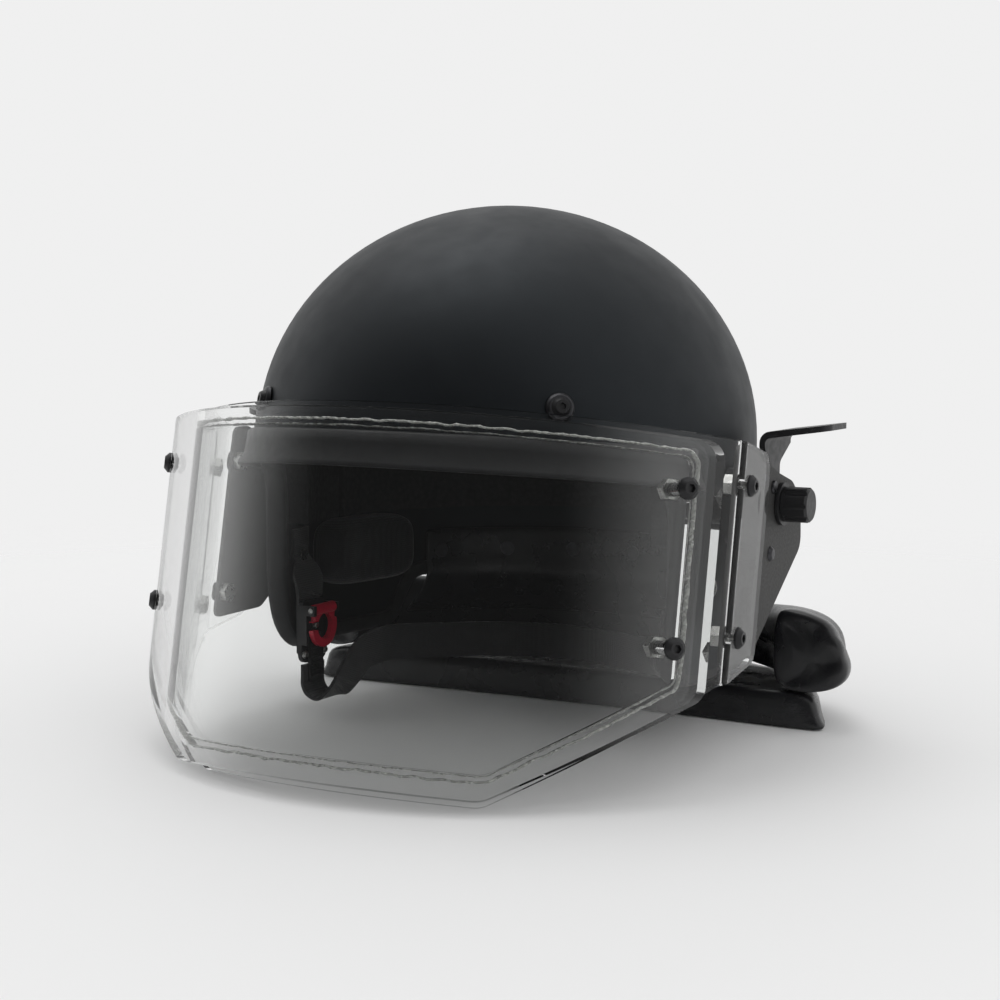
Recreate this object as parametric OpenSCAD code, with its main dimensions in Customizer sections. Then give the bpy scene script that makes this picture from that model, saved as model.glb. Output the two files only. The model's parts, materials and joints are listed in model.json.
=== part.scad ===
// Tactical helmet with a thick clear visor that swings up on two arms.
// The wearer looks towards -Y, the wearer's left is +X, and the helmet stands on z = 0.

/* [Shell] */
// Half width of the shell at its widest
shell_a = 132; // [130:0.5:133]
// Half length of the shell at its widest
shell_b = 142; // [139:0.5:143]
// Height of the dome above its widest level
shell_c = 124; // [120:0.5:125]
// Height of the widest level above the table
shell_z = 155.5; // [154:0.5:156.5]
// Thickness of the ballistic shell
shell_t = 8; // [7:0.5:9]
// Height of the cheek lobes' lower edge
cheek_z = 38; // [36:0.5:40]
// Height of the rim behind the cheeks
rim_z = 65.5; // [65:0.5:68]
// How far the front edge of the cheeks lies ahead of the middle
cheek_front = 54; // [50:0.5:58]
// How far the lower edge of the cheeks reaches behind the middle
cheek_back = 52; // [46:0.5:56]
// Height of the face opening's upper corner
brow_z = 141; // [139:0.5:143]
// Slope of the face opening's upper edge in degrees
brow_slope = 7.5; // [6:0.1:8]
// Wall of the rubber edging on the shell's rim
trim_t = 1.6; // [1.2:0.1:2]
// How far the rubber edging reaches over the shell
trim_w = 7; // [5:0.5:8]
// Height of the brow seal's lower lip at the front
seal_z = 149; // [148:0.5:150]
// Height of the brow seal at the front
seal_h = 16.5; // [14:0.5:18]
// Half angle of the brow seal around the front in degrees
seal_arc = 70; // [66:1:74]

/* [Lining] */
// Thickness of the impact liner
liner_t = 14; // [12:0.5:16]
// Height of the liner's lower edge
liner_z = 106; // [102:1:110]
// Thickness of the comfort pads
pad_t = 12; // [10:0.5:14]
// Thickness of the cheek pads
cheek_pad_t = 20; // [17:0.5:22]

/* [Visor] */
// Lean of the visor, lower edge forwards, in degrees
visor_tilt = 11.2; // [10.5:0.1:11.8]
// How far the visor's inner face lies ahead of the shell, square to its lean
visor_gap = 40; // [39.5:0.5:42.5]
// Width between the visor's two wings
visor_w = 303.2; // [302:0.2:305]
// Radius of the visor's inner face
visor_r = 168; // [165:0.5:172]
// Inner radius of the bend between the front and each wing
bend_r = 10.5; // [9:0.5:13]
// Length of each flat wing
wing_l = 33; // [31:0.5:34]
// Height of the visor's upper edge along its lean
visor_top = 149.4; // [147:0.2:151]
// Half length of the flat lower edge
flat_s = 75; // [70:0.5:80]
// Height of each wing at its rear edge
wing_h = 104; // [100:0.5:106]
// Thickness of the base sheet
sheet_t = 5; // [4.5:0.1:5.5]
// Thickness of the middle layer
middle_t = 3.7; // [3:0.1:4.2]
// Thickness of the front plate
front_t = 11; // [9:0.1:12]
// Arc length from the middle to the end of the front plate
front_s = 167; // [165:0.5:169]
// Arc length from the middle to the end of the middle layer
middle_s = 159.5; // [158.5:0.5:161]
// Width of the sealing bead around the middle layer
bead_w = 4; // [3:0.1:4.3]

/* [Fasteners] */
// Thread diameter of the visor bolts
bolt_d = 6; // [5:0.1:6]
// Head diameter of the visor bolts
head_d = 10.5; // [10:0.1:11]
// Head height of the visor bolts
head_h = 3.3; // [2.8:0.1:3.6]
// Arc length from the middle to the front bolts
bolt_s = 150.2; // [149:0.2:150.6]
// Depth of the upper front bolts below the visor's upper edge
bolt_drop = 30; // [28:0.5:32]
// Distance from the upper to the lower bolts
bolt_pitch = 72.8; // [70:0.2:75]
// How far the side bolts lie ahead of the wing's rear edge
side_in = 27; // [25:0.5:28]
// Width across the corners of the nuts
nut_w = 11; // [10.5:0.1:11.5]
// Thickness of the nuts
nut_h = 5; // [4:0.5:5]
// Outer diameter of the cup washers on the shell
cup_d = 14; // [12:0.5:15]
// Thread diameter of the shell's bolts and rivets
shell_bolt_d = 5; // [4:0.1:5.4]

/* [Pivots] */
// How far the visor's pivots lie behind the middle
pivot_y = 9; // [8:0.1:10]
// Height of the visor's pivots
pivot_z = 126; // [125:0.1:127]
// Diameter of the pivot studs
stud_d = 8; // [7:0.1:8.5]
// Thickness of the arm plates
arm_t = 3; // [2.5:0.1:3.2]
// Thickness of the release levers
lever_t = 3; // [2.4:0.1:3]
// Diameter of the release levers' pins
pin_d = 4; // [3.5:0.1:4.5]
// How far the release levers' tabs reach outwards
tab_l = 35; // [30:0.5:37]
// Width of the release levers' tabs
tab_w = 40; // [36:0.5:41]
// Diameter of the clamp knobs
knob_d = 18; // [16:0.1:19]
// Length of the clamp knobs
knob_l = 13.5; // [12:0.5:15]
// Diameter of the detent rings
ring_d = 26; // [25:0.1:26]
// Thickness of the detent rings
ring_t = 2.6; // [2.2:0.1:3]

/* [Neck guard] */
// Height of the neck guard's lower cushion
band_h = 20; // [18:0.5:21]
// Half width of the neck guard's roll
guard_a = 174.5; // [172:0.5:177]
// How far the neck guard's roll reaches behind the middle
guard_b = 168; // [167:0.5:171]
// How far the neck guard's ends lie behind the middle
guard_y = 52; // [50:0.5:54]
// Depth of the roll at its ends
roll_w = 42; // [38:0.5:44]

/* [Chin strap] */
// Width of the webbing
web_w = 20; // [18:0.5:20]
// Thickness of the webbing
web_t = 2; // [1.6:0.1:2.2]
// Width of the ratchet buckle
buckle_w = 24; // [23:0.5:25]
// Diameter of the buckle's ring lever
lever_d = 23; // [21:0.5:23]
// Width of the ratchet tongue
tongue_w = 13; // [12:0.5:13.5]
// Thickness of the ratchet tongue
tongue_t = 2.2; // [1.8:0.1:2.2]

/* [Hidden] */

$fn = 56;
// Gap between a soft piece and what it lies on
soft_gap = 0.3;
// Gap between rigid pieces that move past each other
run_gap = 0.3;
// Gap between rigid pieces fixed to each other
fix_gap = 0.1;
// Radial clearance of a shaft in its bore
fit_gap = 0.05;
// Gap between the bonded layers of the visor
bond_gap = 0.15;
// Radial clearance around bolts
hole_gap = 0.3;

module in_place() translate([0, -mid_y, 0]) children();
module mirrored() mirror([1, 0, 0]) children();
module both_sides() { children(); mirrored() children(); }

// Along the wearer's left, from one distance to another
module across(x0, x1, d) translate([x0, 0, 0]) rotate([0, 90, 0]) cylinder(h = x1 - x0, d = d);
// A plate in side view, y to the right and z up
module side_plate(x0, x1) translate([x0, 0, 0]) rotate([90, 0, 90]) linear_extrude(x1 - x0) children();

// Corners of a polygon rounded with small straight steps
function unit(v) = v / norm(v);
function fillet(a, b, c, r, n) = r == 0 ? [b] :
    let(u = unit(a - b), v = unit(c - b), h = acos(u * v) / 2, m = b + unit(u + v) * r / sin(h),
        p = b + u * r / tan(h) - m, q = b + v * r / tan(h) - m, w = 180 - 2 * h)
    [for (k = [0:n]) m + (sin(w * (1 - k / n)) * p + sin(w * k / n) * q) / sin(w)];
function rounded(p, r, n = 5) = let(m = len(p)) [for (i = [0:m - 1])
    each fillet(p[(i + m - 1) % m], p[i], p[(i + 1) % m], is_list(r) ? r[i] : r, n)];
function box_points(w, h, c = [0, 0]) =
    [c + [-w, -h] / 2, c + [w, -h] / 2, c + [w, h] / 2, c + [-w, h] / 2];

// A flat end of m points as a row of quads across it, which a bowed or hollow outline needs
function split_end(m, flip) = [for (i = [0:m / 2 - 2])
    flip ? [m - 1 - i, m - 2 - i, i + 1, i] : [i, i + 1, m - 2 - i, m - 1 - i]];
// A solid through a row of loops that have the same number of points. A closed one is a ring
module loft(rings, closed = false, split = false) {
    n = len(rings);
    m = len(rings[0]);
    ends = split ? concat(split_end(m, false), [for (f = split_end(m, true)) [for (i = f) (n - 1) * m + i]])
        : [[for (i = [0:m - 1]) i], [for (i = [m - 1:-1:0]) (n - 1) * m + i]];
    polyhedron(points = [for (r = rings) each r], faces = concat(closed ? [] : ends,
        [for (k = [0:closed ? n - 1 : n - 2], i = [0:m - 1]) let(j = (k + 1) % n)
            [k * m + i, j * m + i, j * m + (i + 1) % m, k * m + (i + 1) % m]]
    ));
}

// The shell's round body, grown by o on every side
waist_z = 82.5;
tuck_r = 115;
reach = 2 * shell_b + 16;

module shell_profile(o) {
    intersection() {
        translate([0, shell_z]) scale([shell_a + o, shell_c + o]) circle(r = 1);
        translate([0, shell_z]) square([2 * shell_a, 2 * shell_c]);
    }
    translate([0, waist_z]) square([shell_a + o, shell_z - waist_z]);
    intersection() {
        translate([shell_a - tuck_r, waist_z]) circle(r = tuck_r + o);
        square([2 * shell_a, waist_z]);
    }
}
// The body is a little longer than it is wide
module shell_body(o) resize([2 * (shell_a + o), 2 * (shell_a + o) * shell_b / shell_a, 0])
    rotate_extrude() shell_profile(o);
module shell_wall(outer, inner) difference() { shell_body(outer); shell_body(-inner); }

// Side view of the part of the shell that is kept
shell_side = rounded([
    [-cheek_front, cheek_z], [cheek_back, cheek_z], [cheek_back + 22, rim_z], [reach, rim_z],
    [reach, reach], [-reach, reach],
    [-reach, brow_z + (reach - cheek_front) * tan(brow_slope)], [-cheek_front, brow_z]
], [20, 20, 12, 0, 0, 0, 0, 22]);
module seen_from_side() rotate([90, 0, 90]) linear_extrude(2 * reach, center = true) children();
module kept(o) seen_from_side() offset(delta = o) polygon(shell_side);

// Radius factor of the shell's wall at height z, grown by o
function wall_r(z, o) = z >= waist_z ? shell_a + o
    : shell_a - tuck_r + sqrt(pow(tuck_r + o, 2) - pow(waist_z - z, 2));
// Point on the shell: az from the front to the wearer's left, el up from the widest level
function dome(az, el, o) =
    let(z = el > 0 ? shell_z + (shell_c + o) * sin(el) : shell_z + shell_c * el * PI / 180,
        r = el > 0 ? (shell_a + o) * cos(el) : wall_r(z, o))
    [r * sin(az), -r * shell_b / shell_a * cos(az), z];
function dome_normal(az, el) = unit([cos(el) * sin(az) / shell_a, -cos(el) * cos(az) / shell_b,
    sin(max(el, 0)) / shell_c]);
module on_dome(az, el) {
    n = dome_normal(az, el);
    translate(dome(az, el, 0)) rotate([0, acos(n.z), atan2(n.y, n.x)]) children();
}

// Places of the bolts and rivets in the shell
bolt_places = [[39.5, 10.3], [-39.5, 10.3], [140.5, 10.3], [-140.5, 10.3]];
strap_places = [[77, -32], [-77, -32]];
flap_places = [for (a = [130:20:230]) [a, -35.4]];
base_places = [for (y = [-25, 25], z = [-12, 12]) [pivot_y + y, pivot_z + z]];
shaft_d = shell_bolt_d + 2 * hole_gap;

module shell() color([0.05, 0.05, 0.055]) in_place() difference() {
    intersection() { shell_wall(0, shell_t); kept(0); }
    for (p = concat(bolt_places, strap_places, flap_places)) on_dome(p.x, p.y)
        translate([0, 0, -2 * shell_t]) cylinder(h = 4 * shell_t, d = shaft_d, $fn = 20);
    both_sides() for (p = base_places) translate([0, p.x, p.y]) rotate([0, 90, 0])
        cylinder(h = 2 * shell_a, d = shaft_d, $fn = 20);
}

module edge_trim() color([0.03, 0.03, 0.03]) in_place() difference() {
    intersection() {
        shell_wall(soft_gap + trim_t, shell_t + soft_gap + trim_t);
        difference() { kept(soft_gap + trim_t); kept(-trim_w); }
    }
    intersection() { shell_wall(soft_gap, shell_t + soft_gap); kept(soft_gap); }
}

// The seal lies over the edging at its foot, and its lower lip drops towards the temples
over_trim = 2 * soft_gap + trim_t;
function seal_ring(a) = let(low = seal_z - 19 * (1 - cos(a)), top = low + seal_h + 5 * (1 - cos(a)))
    [for (p = [[over_trim, low + 6], [over_trim, low + 11.8], [soft_gap, low + 12.8], [soft_gap, top],
        [3, top - 0.6], [4.4, low + 10], [8, low + 2.2], [8.3, low], [6.2, low - 0.2], [4, low + 5]])
        let(e = p.y > shell_z ? asin((p.y - shell_z) / (shell_c + p.x)) : (p.y - shell_z) / shell_c * 180 / PI)
        dome(a, e, p.x)];
module brow_seal() color([0.04, 0.04, 0.045]) in_place()
    loft([for (k = [-14:14]) seal_ring(seal_arc * k / 14)]);

liner_o = shell_t + soft_gap;
module impact_liner() color([0.12, 0.12, 0.13]) in_place() difference() {
    intersection() {
        shell_wall(-liner_o, liner_o + liner_t, $fn = 40);
        kept(-9);
        translate([-reach, -reach, liner_z]) cube(2 * reach);
    }
    for (p = bolt_places) on_dome(p.x, p.y) translate([0, 0, -liner_o - 7])
        cylinder(h = 9, d = nut_w + 5, $fn = 24);
    translate([-1.5 * shell_a, -3, liner_z - 1]) cube([3 * shell_a, 6, 30]);
}

// A padded cushion with a crown, mapped through layers of depth and outline scale
pad_steps = [[0, 0.15], [0, 0.6], [0, 0.94], [0.18, 1], [0.7, 0.985], [0.92, 0.9], [1, 0.72], [1.06, 0.3]];
function soft_loop(t) = [sign(cos(t)) * pow(abs(cos(t)), 0.5), sign(sin(t)) * pow(abs(sin(t)), 0.5)];
pad_n = 20;
module wall_pad(az, el, w, h, o, t) loft([for (s = pad_steps) [for (k = [0:pad_n - 1])
    let(q = soft_loop((k + 0.5) * 360 / pad_n) * s.y / 2) dome(az - w * q.x, el + h * q.y, -o - t * s.x)]]);
// Gap between the comfort pads and the liner's coarser wall
pad_gap = 0.8;
pad_o = liner_o + liner_t + pad_gap;
module crown_pad() color([0.15, 0.15, 0.16]) in_place() loft([for (s = pad_steps) [for (k = [0:pad_n - 1])
    let(q = soft_loop((k + 0.5) * 360 / pad_n) * s.y / 2, o = -pad_o - pad_t * s.x, x = -74 * q.x, y = 96 * q.y)
    [x, y, shell_z + (shell_c + o) * sqrt(1 - pow(x / (shell_a + o), 2) - pow(y / (shell_b + o), 2))]]]);
module front_pad() color([0.15, 0.15, 0.16]) in_place() wall_pad(0, 20, 56, 24, pad_o, pad_t);
module rear_pad() color([0.15, 0.15, 0.16]) in_place() wall_pad(180, 8, 60, 40, pad_o, pad_t);
module side_pad_left() color([0.15, 0.15, 0.16]) in_place() wall_pad(98, 14, 50, 36, pad_o, pad_t);
module side_pad_right() color([0.15, 0.15, 0.16]) in_place() mirrored() wall_pad(98, 14, 50, 36, pad_o, pad_t);
module cheek_pad() wall_pad(102, -32.5, 36, 18, liner_o + soft_gap, cheek_pad_t);
module cheek_pad_left() color([0.15, 0.15, 0.16]) in_place() cheek_pad();
module cheek_pad_right() color([0.15, 0.15, 0.16]) in_place() mirrored() cheek_pad();

// Bolts with cup washers through the shell
cup_h = 2.2;
cup_z = 0.3;
module cup_washers() color([0.7, 0.7, 0.7]) in_place() for (p = bolt_places) on_dome(p.x, p.y)
    translate([0, 0, cup_z]) difference() {
        union() {
            cylinder(h = 0.8, d = cup_d);
            translate([0, 0, 0.8]) cylinder(h = cup_h - 0.8, d1 = cup_d, d2 = cup_d - 2.4);
        }
        translate([0, 0, -1]) cylinder(h = 5, d = shaft_d);
    }
module shell_bolts() color([0.1, 0.1, 0.1]) in_place() for (p = bolt_places) on_dome(p.x, p.y) difference() {
    union() {
        translate([0, 0, cup_z + cup_h + 0.05]) cylinder(h = 2.4, d1 = 9.5, d2 = 6.5);
        translate([0, 0, -shell_t - nut_h - 1.5])
            cylinder(h = shell_t + nut_h + cup_z + cup_h + 2, d = shell_bolt_d);
    }
    translate([0, 0, cup_z + cup_h + 1.2]) cylinder(h = 3, d = 3.6, $fn = 6);
}
module shell_nuts() color([0.7, 0.7, 0.7]) in_place() for (p = bolt_places) on_dome(p.x, p.y)
    translate([0, 0, -shell_t - nut_h - 1]) difference() {
        cylinder(h = nut_h, d = nut_w, $fn = 6);
        translate([0, 0, -1]) cylinder(h = nut_h + 2, d = shell_bolt_d + 2 * fit_gap);
    }

// Neck guard: a padded roll around the nape over a cushion that stands on the table
roll_low = band_h + soft_gap;
roll_back = 24.2;
function roll_p(a) = [guard_a * cos(a), guard_y + (guard_b - guard_y) * sin(a)];
function roll_n(a) = unit([cos(a) / guard_a, sin(a) / (guard_b - guard_y)]);
function roll_d(a) = roll_w - (roll_w - roll_back) * pow(sin(a), 2);
function roll_ring(a, k) = let(
        roll_top = rim_z - 13 * pow(sin(a), 2), droop = 7 * pow(sin(a), 2),
        q = 1 - 0.05 * (exp(-pow((a - 55) / 3, 2)) + exp(-pow((a - 125) / 3, 2)) + exp(-pow((a - 90) / 3, 2))),
        p = roll_p(a), n = roll_n(a), d = roll_d(a), c = [0.5, (roll_low + roll_top) / 2])
    [for (v = [[0.9, roll_low], [1, roll_low + 7], [1, roll_top - 6], [0.9, roll_top],
        [0.5, roll_top - 2 - droop / 2], [0.22, roll_top - 7 - droop], [0.07, roll_top - 16 - droop],
        [0, roll_low + 16], [0, roll_low + 9], [0.1, roll_low + 3.5], [0.34, roll_low]])
        let(r = [c.x + (v.x - c.x) * k * q, v.y > c.y ? c.y + (v.y - c.y) * k * q : v.y])
        [p.x - n.x * d * r.x, p.y - n.y * d * r.x, r.y]];
module neck_guard() color([0.06, 0.055, 0.05]) in_place() loft(concat(
    [roll_ring(0, 0.55), roll_ring(0.7, 0.88)], [for (k = [1:31]) roll_ring(180 * k / 32, 1)],
    [roll_ring(179.3, 0.88), roll_ring(180, 0.55)]));
nape = 4;
nape_n = 36;
cushion_loop = concat(
    [for (k = [0:nape_n - 12]) let(a = 180 * k / (nape_n - 12))
        [(guard_a - 14) * cos(a), guard_y - 2 + (guard_b - guard_y - 12) * sin(a)]],
    [for (k = [1:11]) let(x = 1 - k / 6) [-(guard_a - 14) * x, guard_y - 2 + nape * (1 - x * x)]]);
module neck_guard_cushion() color([0.07, 0.065, 0.06]) in_place() loft([
    for (s = [[0, 0.97], [2.5, 1], [5, 0.985], [band_h - 5, 0.985], [band_h - 1.5, 0.96], [band_h, 0.9],
        [band_h - 2, 0.62], [band_h - 2.4, 0.2]])
        [for (p = cushion_loop) [p.x * s.y, 100 + (p.y - 100) * s.y, s.x]]], split = true);
// The flap hangs from the shell's inner wall, inside the edging, and is sewn to the roll's inner face
flap_t = 2;
flap_o = liner_o + trim_t + soft_gap;
flap_low = roll_low + 18;
flap_steps = [for (k = [0:24]) 32 + 116 * k / 24];
function flap_point(a, z, t) = let(foot = roll_p(a) - roll_n(a) * (roll_d(a) + soft_gap + t))
    z == flap_low ? [foot.x, foot.y, z]
    : dome(atan2(foot.x, -foot.y), (z - shell_z) / shell_c * 180 / PI, -flap_o - t);
module neck_guard_flap() color([0.06, 0.055, 0.05]) in_place()
    loft([for (z = [flap_low, rim_z - trim_t - 3, 78, 92]) concat(
        [for (a = flap_steps) flap_point(a, z, 0)],
        [for (k = [len(flap_steps) - 1:-1:0]) flap_point(flap_steps[k], z, flap_t)])], split = true);
module rivet(depth) {
    translate([0, 0, 0.4]) cylinder(h = 0.8, d = 2 * shell_bolt_d);
    translate([0, 0, 1.2]) cylinder(h = 1.2, d1 = 2 * shell_bolt_d, d2 = shell_bolt_d);
    translate([0, 0, -depth - 1.4]) cylinder(h = depth + 1.8, d = shell_bolt_d);
    translate([0, 0, -depth - 1.4]) cylinder(h = 1, d = 1.7 * shell_bolt_d);
}
module neck_guard_rivets() color([0.75, 0.75, 0.72]) in_place() for (p = flap_places) on_dome(p.x, p.y)
    rivet(flap_o + flap_t + 0.4);

// Pivot hardware, counted outwards from the shell
arm_x1 = visor_w / 2 - fix_gap;
arm_x0 = arm_x1 - arm_t;
lever_x1 = arm_x0 - run_gap;
lever_x0 = lever_x1 - lever_t;
ring_x1 = lever_x0 - run_gap;
base_x1 = ring_x1 - ring_t - fit_gap;
washer_x0 = arm_x1 + run_gap;
washer_t = 2;
knob_x0 = washer_x0 + washer_t + run_gap;
knob_x1 = knob_x0 + knob_l;
// Where the lever turns and where its tooth meets the ring, seen from the pivot
lever_y = -12;
lever_up = 9.5;
tooth_a = 112.8;
module at_pivot() translate([0, pivot_y, pivot_z]) children();
// Radius of the shell's side in plan
side_r = shell_b * shell_b / shell_a;
foot_x = 136.5;
module pivot_base() difference() {
    union() {
        side_plate(shell_a / 2, foot_x) polygon(rounded(box_points(64, 38, [pivot_y, pivot_z]), 9));
        at_pivot() across(shell_a / 2, base_x1, 40);
    }
    translate([shell_a - side_r, 0, 0]) cylinder(h = reach, r = side_r + 0.2, $fn = 360);
    at_pivot() across(shell_a / 2, reach, stud_d + 2 * fit_gap);
    at_pivot() across(shell_a / 2, shell_a + 6, 16.2);
    for (p = base_places) translate([0, p.x, p.y]) across(shell_a / 2, reach, shaft_d);
}
module pivot_base_left() color([0.08, 0.08, 0.085]) in_place() pivot_base();
module pivot_base_right() color([0.08, 0.08, 0.085]) in_place() mirrored() pivot_base();
module pivot_base_screws() color([0.55, 0.55, 0.56]) in_place() both_sides() for (p = base_places)
    translate([0, p.x, p.y]) difference() {
        union() {
            across(shell_a - 9, foot_x + 0.5, shell_bolt_d);
            translate([foot_x + 0.05, 0, 0]) rotate([0, 90, 0]) cylinder(h = 2.4, d1 = 9, d2 = 7.6);
        }
        translate([foot_x + 1.2, 0, 0]) rotate([0, 90, 0]) cylinder(h = 3, d = 3.4, $fn = 6);
    }
module pivot_studs() color([0.6, 0.6, 0.62]) in_place() both_sides() at_pivot() {
    across(shell_a + 3.4, shell_a + 5.9, 16);
    across(shell_a + 5, knob_x1 - 4, stud_d);
}
module detent_rings() color([0.6, 0.6, 0.62]) in_place() both_sides() at_pivot() difference() {
    across(ring_x1 - ring_t, ring_x1, ring_d);
    across(ring_x1 - ring_t - 1, ring_x1 + 1, stud_d + 2 * fit_gap);
    for (a = [tooth_a, tooth_a - 30, tooth_a - 60]) rotate([a, 0, 0]) translate([0, ring_d / 2 + 0.6, 0])
        across(ring_x1 - ring_t - 1, ring_x1 + 1, 3.4);
}
module friction_washers() color([0.25, 0.16, 0.1]) in_place() both_sides() at_pivot() difference() {
    across(ring_x1 + fit_gap, arm_x0 - run_gap, 16);
    across(ring_x1 - 1, arm_x0, stud_d + 2 * fit_gap);
}
module knob_washers() color([0.05, 0.05, 0.05]) in_place() both_sides() at_pivot() difference() {
    across(washer_x0, washer_x0 + washer_t, 22);
    across(washer_x0 - 1, washer_x0 + washer_t + 1, stud_d + 2 * fit_gap);
}
module knob() at_pivot() difference() {
    union() {
        across(knob_x0, knob_x1 - 1.2, knob_d);
        translate([knob_x1 - 1.2, 0, 0]) rotate([0, 90, 0]) cylinder(h = 1.2, d1 = knob_d, d2 = knob_d - 2.4);
    }
    across(knob_x0 - 1, knob_x1 - 3.5, stud_d + 2 * fit_gap);
    for (k = [0:7]) rotate([45 * k, 0, 0]) translate([0, knob_d / 2 + 1.2, 0])
        across(knob_x0 + 1.5, knob_x1 + 1, 4);
}
module knob_left() color([0.05, 0.05, 0.05]) in_place() knob();
module knob_right() color([0.05, 0.05, 0.05]) in_place() mirrored() knob();

// Plan of the visor: a wide arc, a tight bend and a flat wing on each side
arc_a = asin((visor_w / 2 - bend_r) / (visor_r - bend_r));
arc_l = visor_r * arc_a * PI / 180;
wing_s = arc_l + bend_r * (90 - arc_a) * PI / 180;
sheet_s = wing_s + wing_l;
visor_face = shell_b + visor_gap;
arc_y = visor_r - visor_face;
bend_c = [visor_w / 2 - bend_r, arc_y - (visor_r - bend_r) * cos(arc_a)];
function plan_a(s) = let(q = abs(s)) sign(s) * (q <= arc_l ? q / visor_r * 180 / PI
    : min(90, arc_a + (q - arc_l) / bend_r * 180 / PI));
function plan(s, o) = let(q = abs(s), a = abs(plan_a(s)), g = s < 0 ? -1 : 1)
    q <= arc_l ? [g * (visor_r + o) * sin(a), arc_y - (visor_r + o) * cos(a)]
    : [g * (bend_c.x + (bend_r + o) * sin(a)), bend_c.y - (bend_r + o) * cos(a) + max(0, q - wing_s)];
module on_visor() rotate([-visor_tilt, 0, 0]) children();
// Stands on the visor's inner face with the third axis pointing out
module on_sheet(s, t) let(p = plan(s, 0)) translate([p.x, p.y, t]) rotate([90, 0, plan_a(s)]) children();

// Lower and upper edge of the base sheet along its arc length
rest_t = plan(flat_s, 0).y * tan(visor_tilt);
wing_t = visor_top - 4 - wing_h;
knee_s = wing_s - 8;
function low_t(s) = lookup(abs(s), [[0, rest_t], [flat_s, rest_t], [flat_s + 6, rest_t + 2.6],
    [knee_s, wing_t - 11], [sheet_s - 8, wing_t + 0.4], [sheet_s - 3, wing_t + 2.5],
    [sheet_s - 1, wing_t + 5], [sheet_s, wing_t + 9]]);
function high_t(s) = lookup(abs(s), [[0, visor_top], [100, visor_top - 0.6], [wing_s, visor_top - 2],
    [sheet_s - 9, visor_top - 3.6], [sheet_s - 4, visor_top - 5.4], [sheet_s - 1.2, visor_top - 8.5],
    [sheet_s, visor_top - 13]]);
// Places along the sheet that carry a column of points
half_grid = [for (s = [0:9:arc_l - 3]) s];
function columns(end, extra) = let(h = [for (s = concat(half_grid, extra)) if (s < end - 0.05) s])
    let(q = sort_up(concat(h, [end]))) concat([for (k = [len(q) - 1:-1:1]) -q[k]], q);
function sort_up(v) = len(v) < 2 ? v : let(p = v[floor(len(v) / 2)])
    concat(sort_up([for (x = v) if (x < p) x]), [p], sort_up([for (x = v) if (x > p) x]));

// A layer of the visor between two distances from the inner face
module layer(o0, o1, cols, low, high) loft([for (s = cols)
    let(p = plan(s, o0), q = plan(s, o1), l = low(s), h = high(s))
    [[p.x, p.y, l], [p.x, p.y, h], [q.x, q.y, h], [q.x, q.y, l]]]);
bend_cols = [for (k = [0:4]) arc_l + (wing_s - arc_l) * k / 4];
sheet_cols = columns(sheet_s, concat(bend_cols, [flat_s, flat_s + 6, wing_s + 10, sheet_s - 9, sheet_s - 8,
    sheet_s - 4, sheet_s - 3, sheet_s - 1.2, sheet_s - 1]));
function corner(s, end, r) = let(u = max(0, abs(s) - end + r)) r - sqrt(max(0, r * r - u * u));
function inset_cols(end, r) = columns(end, concat(
    [flat_s, flat_s + 6], [for (k = [0:4]) end - r * (1 - sin(18 * k))]));

stack_t = sheet_t + middle_t + front_t + 2 * bond_gap;
middle_o = sheet_t + bond_gap;
front_o = middle_o + middle_t + bond_gap;
// How far the bead's outline lies inside the sheet's upper and lower edges
bead_top = 9.4;
bead_low = 11;
front_top = 5;
front_low = 4;
bead_r = 7;
upper_t = visor_top - bolt_drop;
bolt_rows = [upper_t, upper_t - bolt_pitch];
side_s = sheet_s - side_in;
side_rows = [upper_t + 8, upper_t + 8 - bolt_pitch];
module bolt_holes(s, rows) for (g = [-1, 1], t = rows) on_sheet(g * s, t)
    translate([0, 0, -5]) cylinder(h = stack_t + 10, d = bolt_d + 2 * hole_gap);

module base_sheet() color([0.85, 0.9, 0.9, 0.4]) in_place() on_visor() difference() {
    layer(0, sheet_t, sheet_cols, function(s) low_t(s), function(s) high_t(s));
    bolt_holes(bolt_s, bolt_rows);
    bolt_holes(side_s, side_rows);
}
// An inset counts for more along the slanted part of the lower edge
function slant(s) = lookup(abs(s), [[flat_s - 15, 1], [flat_s + 15, 1.14]]);
function inset_low(s, end, low, r) = low_t(s) + low * slant(s) + corner(s, end, r);
function inset_high(s, end, top, r) = high_t(s) - top - corner(s, end, r);
// Rounded plate inside the base sheet's outline, drawn in by top, low and an end
module inner_plate(o0, o1, end, top, low, r) layer(o0, o1, inset_cols(end, r),
    function(s) inset_low(s, end, low, r), function(s) inset_high(s, end, top, r));
module middle_plate() color([0.75, 0.85, 0.8, 0.4]) in_place() on_visor() difference() {
    inner_plate(middle_o, middle_o + middle_t, middle_s - bead_w - 0.3, bead_top + bead_w + 0.3,
        bead_low + bead_w + 0.3, bead_r - 2);
    bolt_holes(bolt_s, bolt_rows);
}
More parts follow.
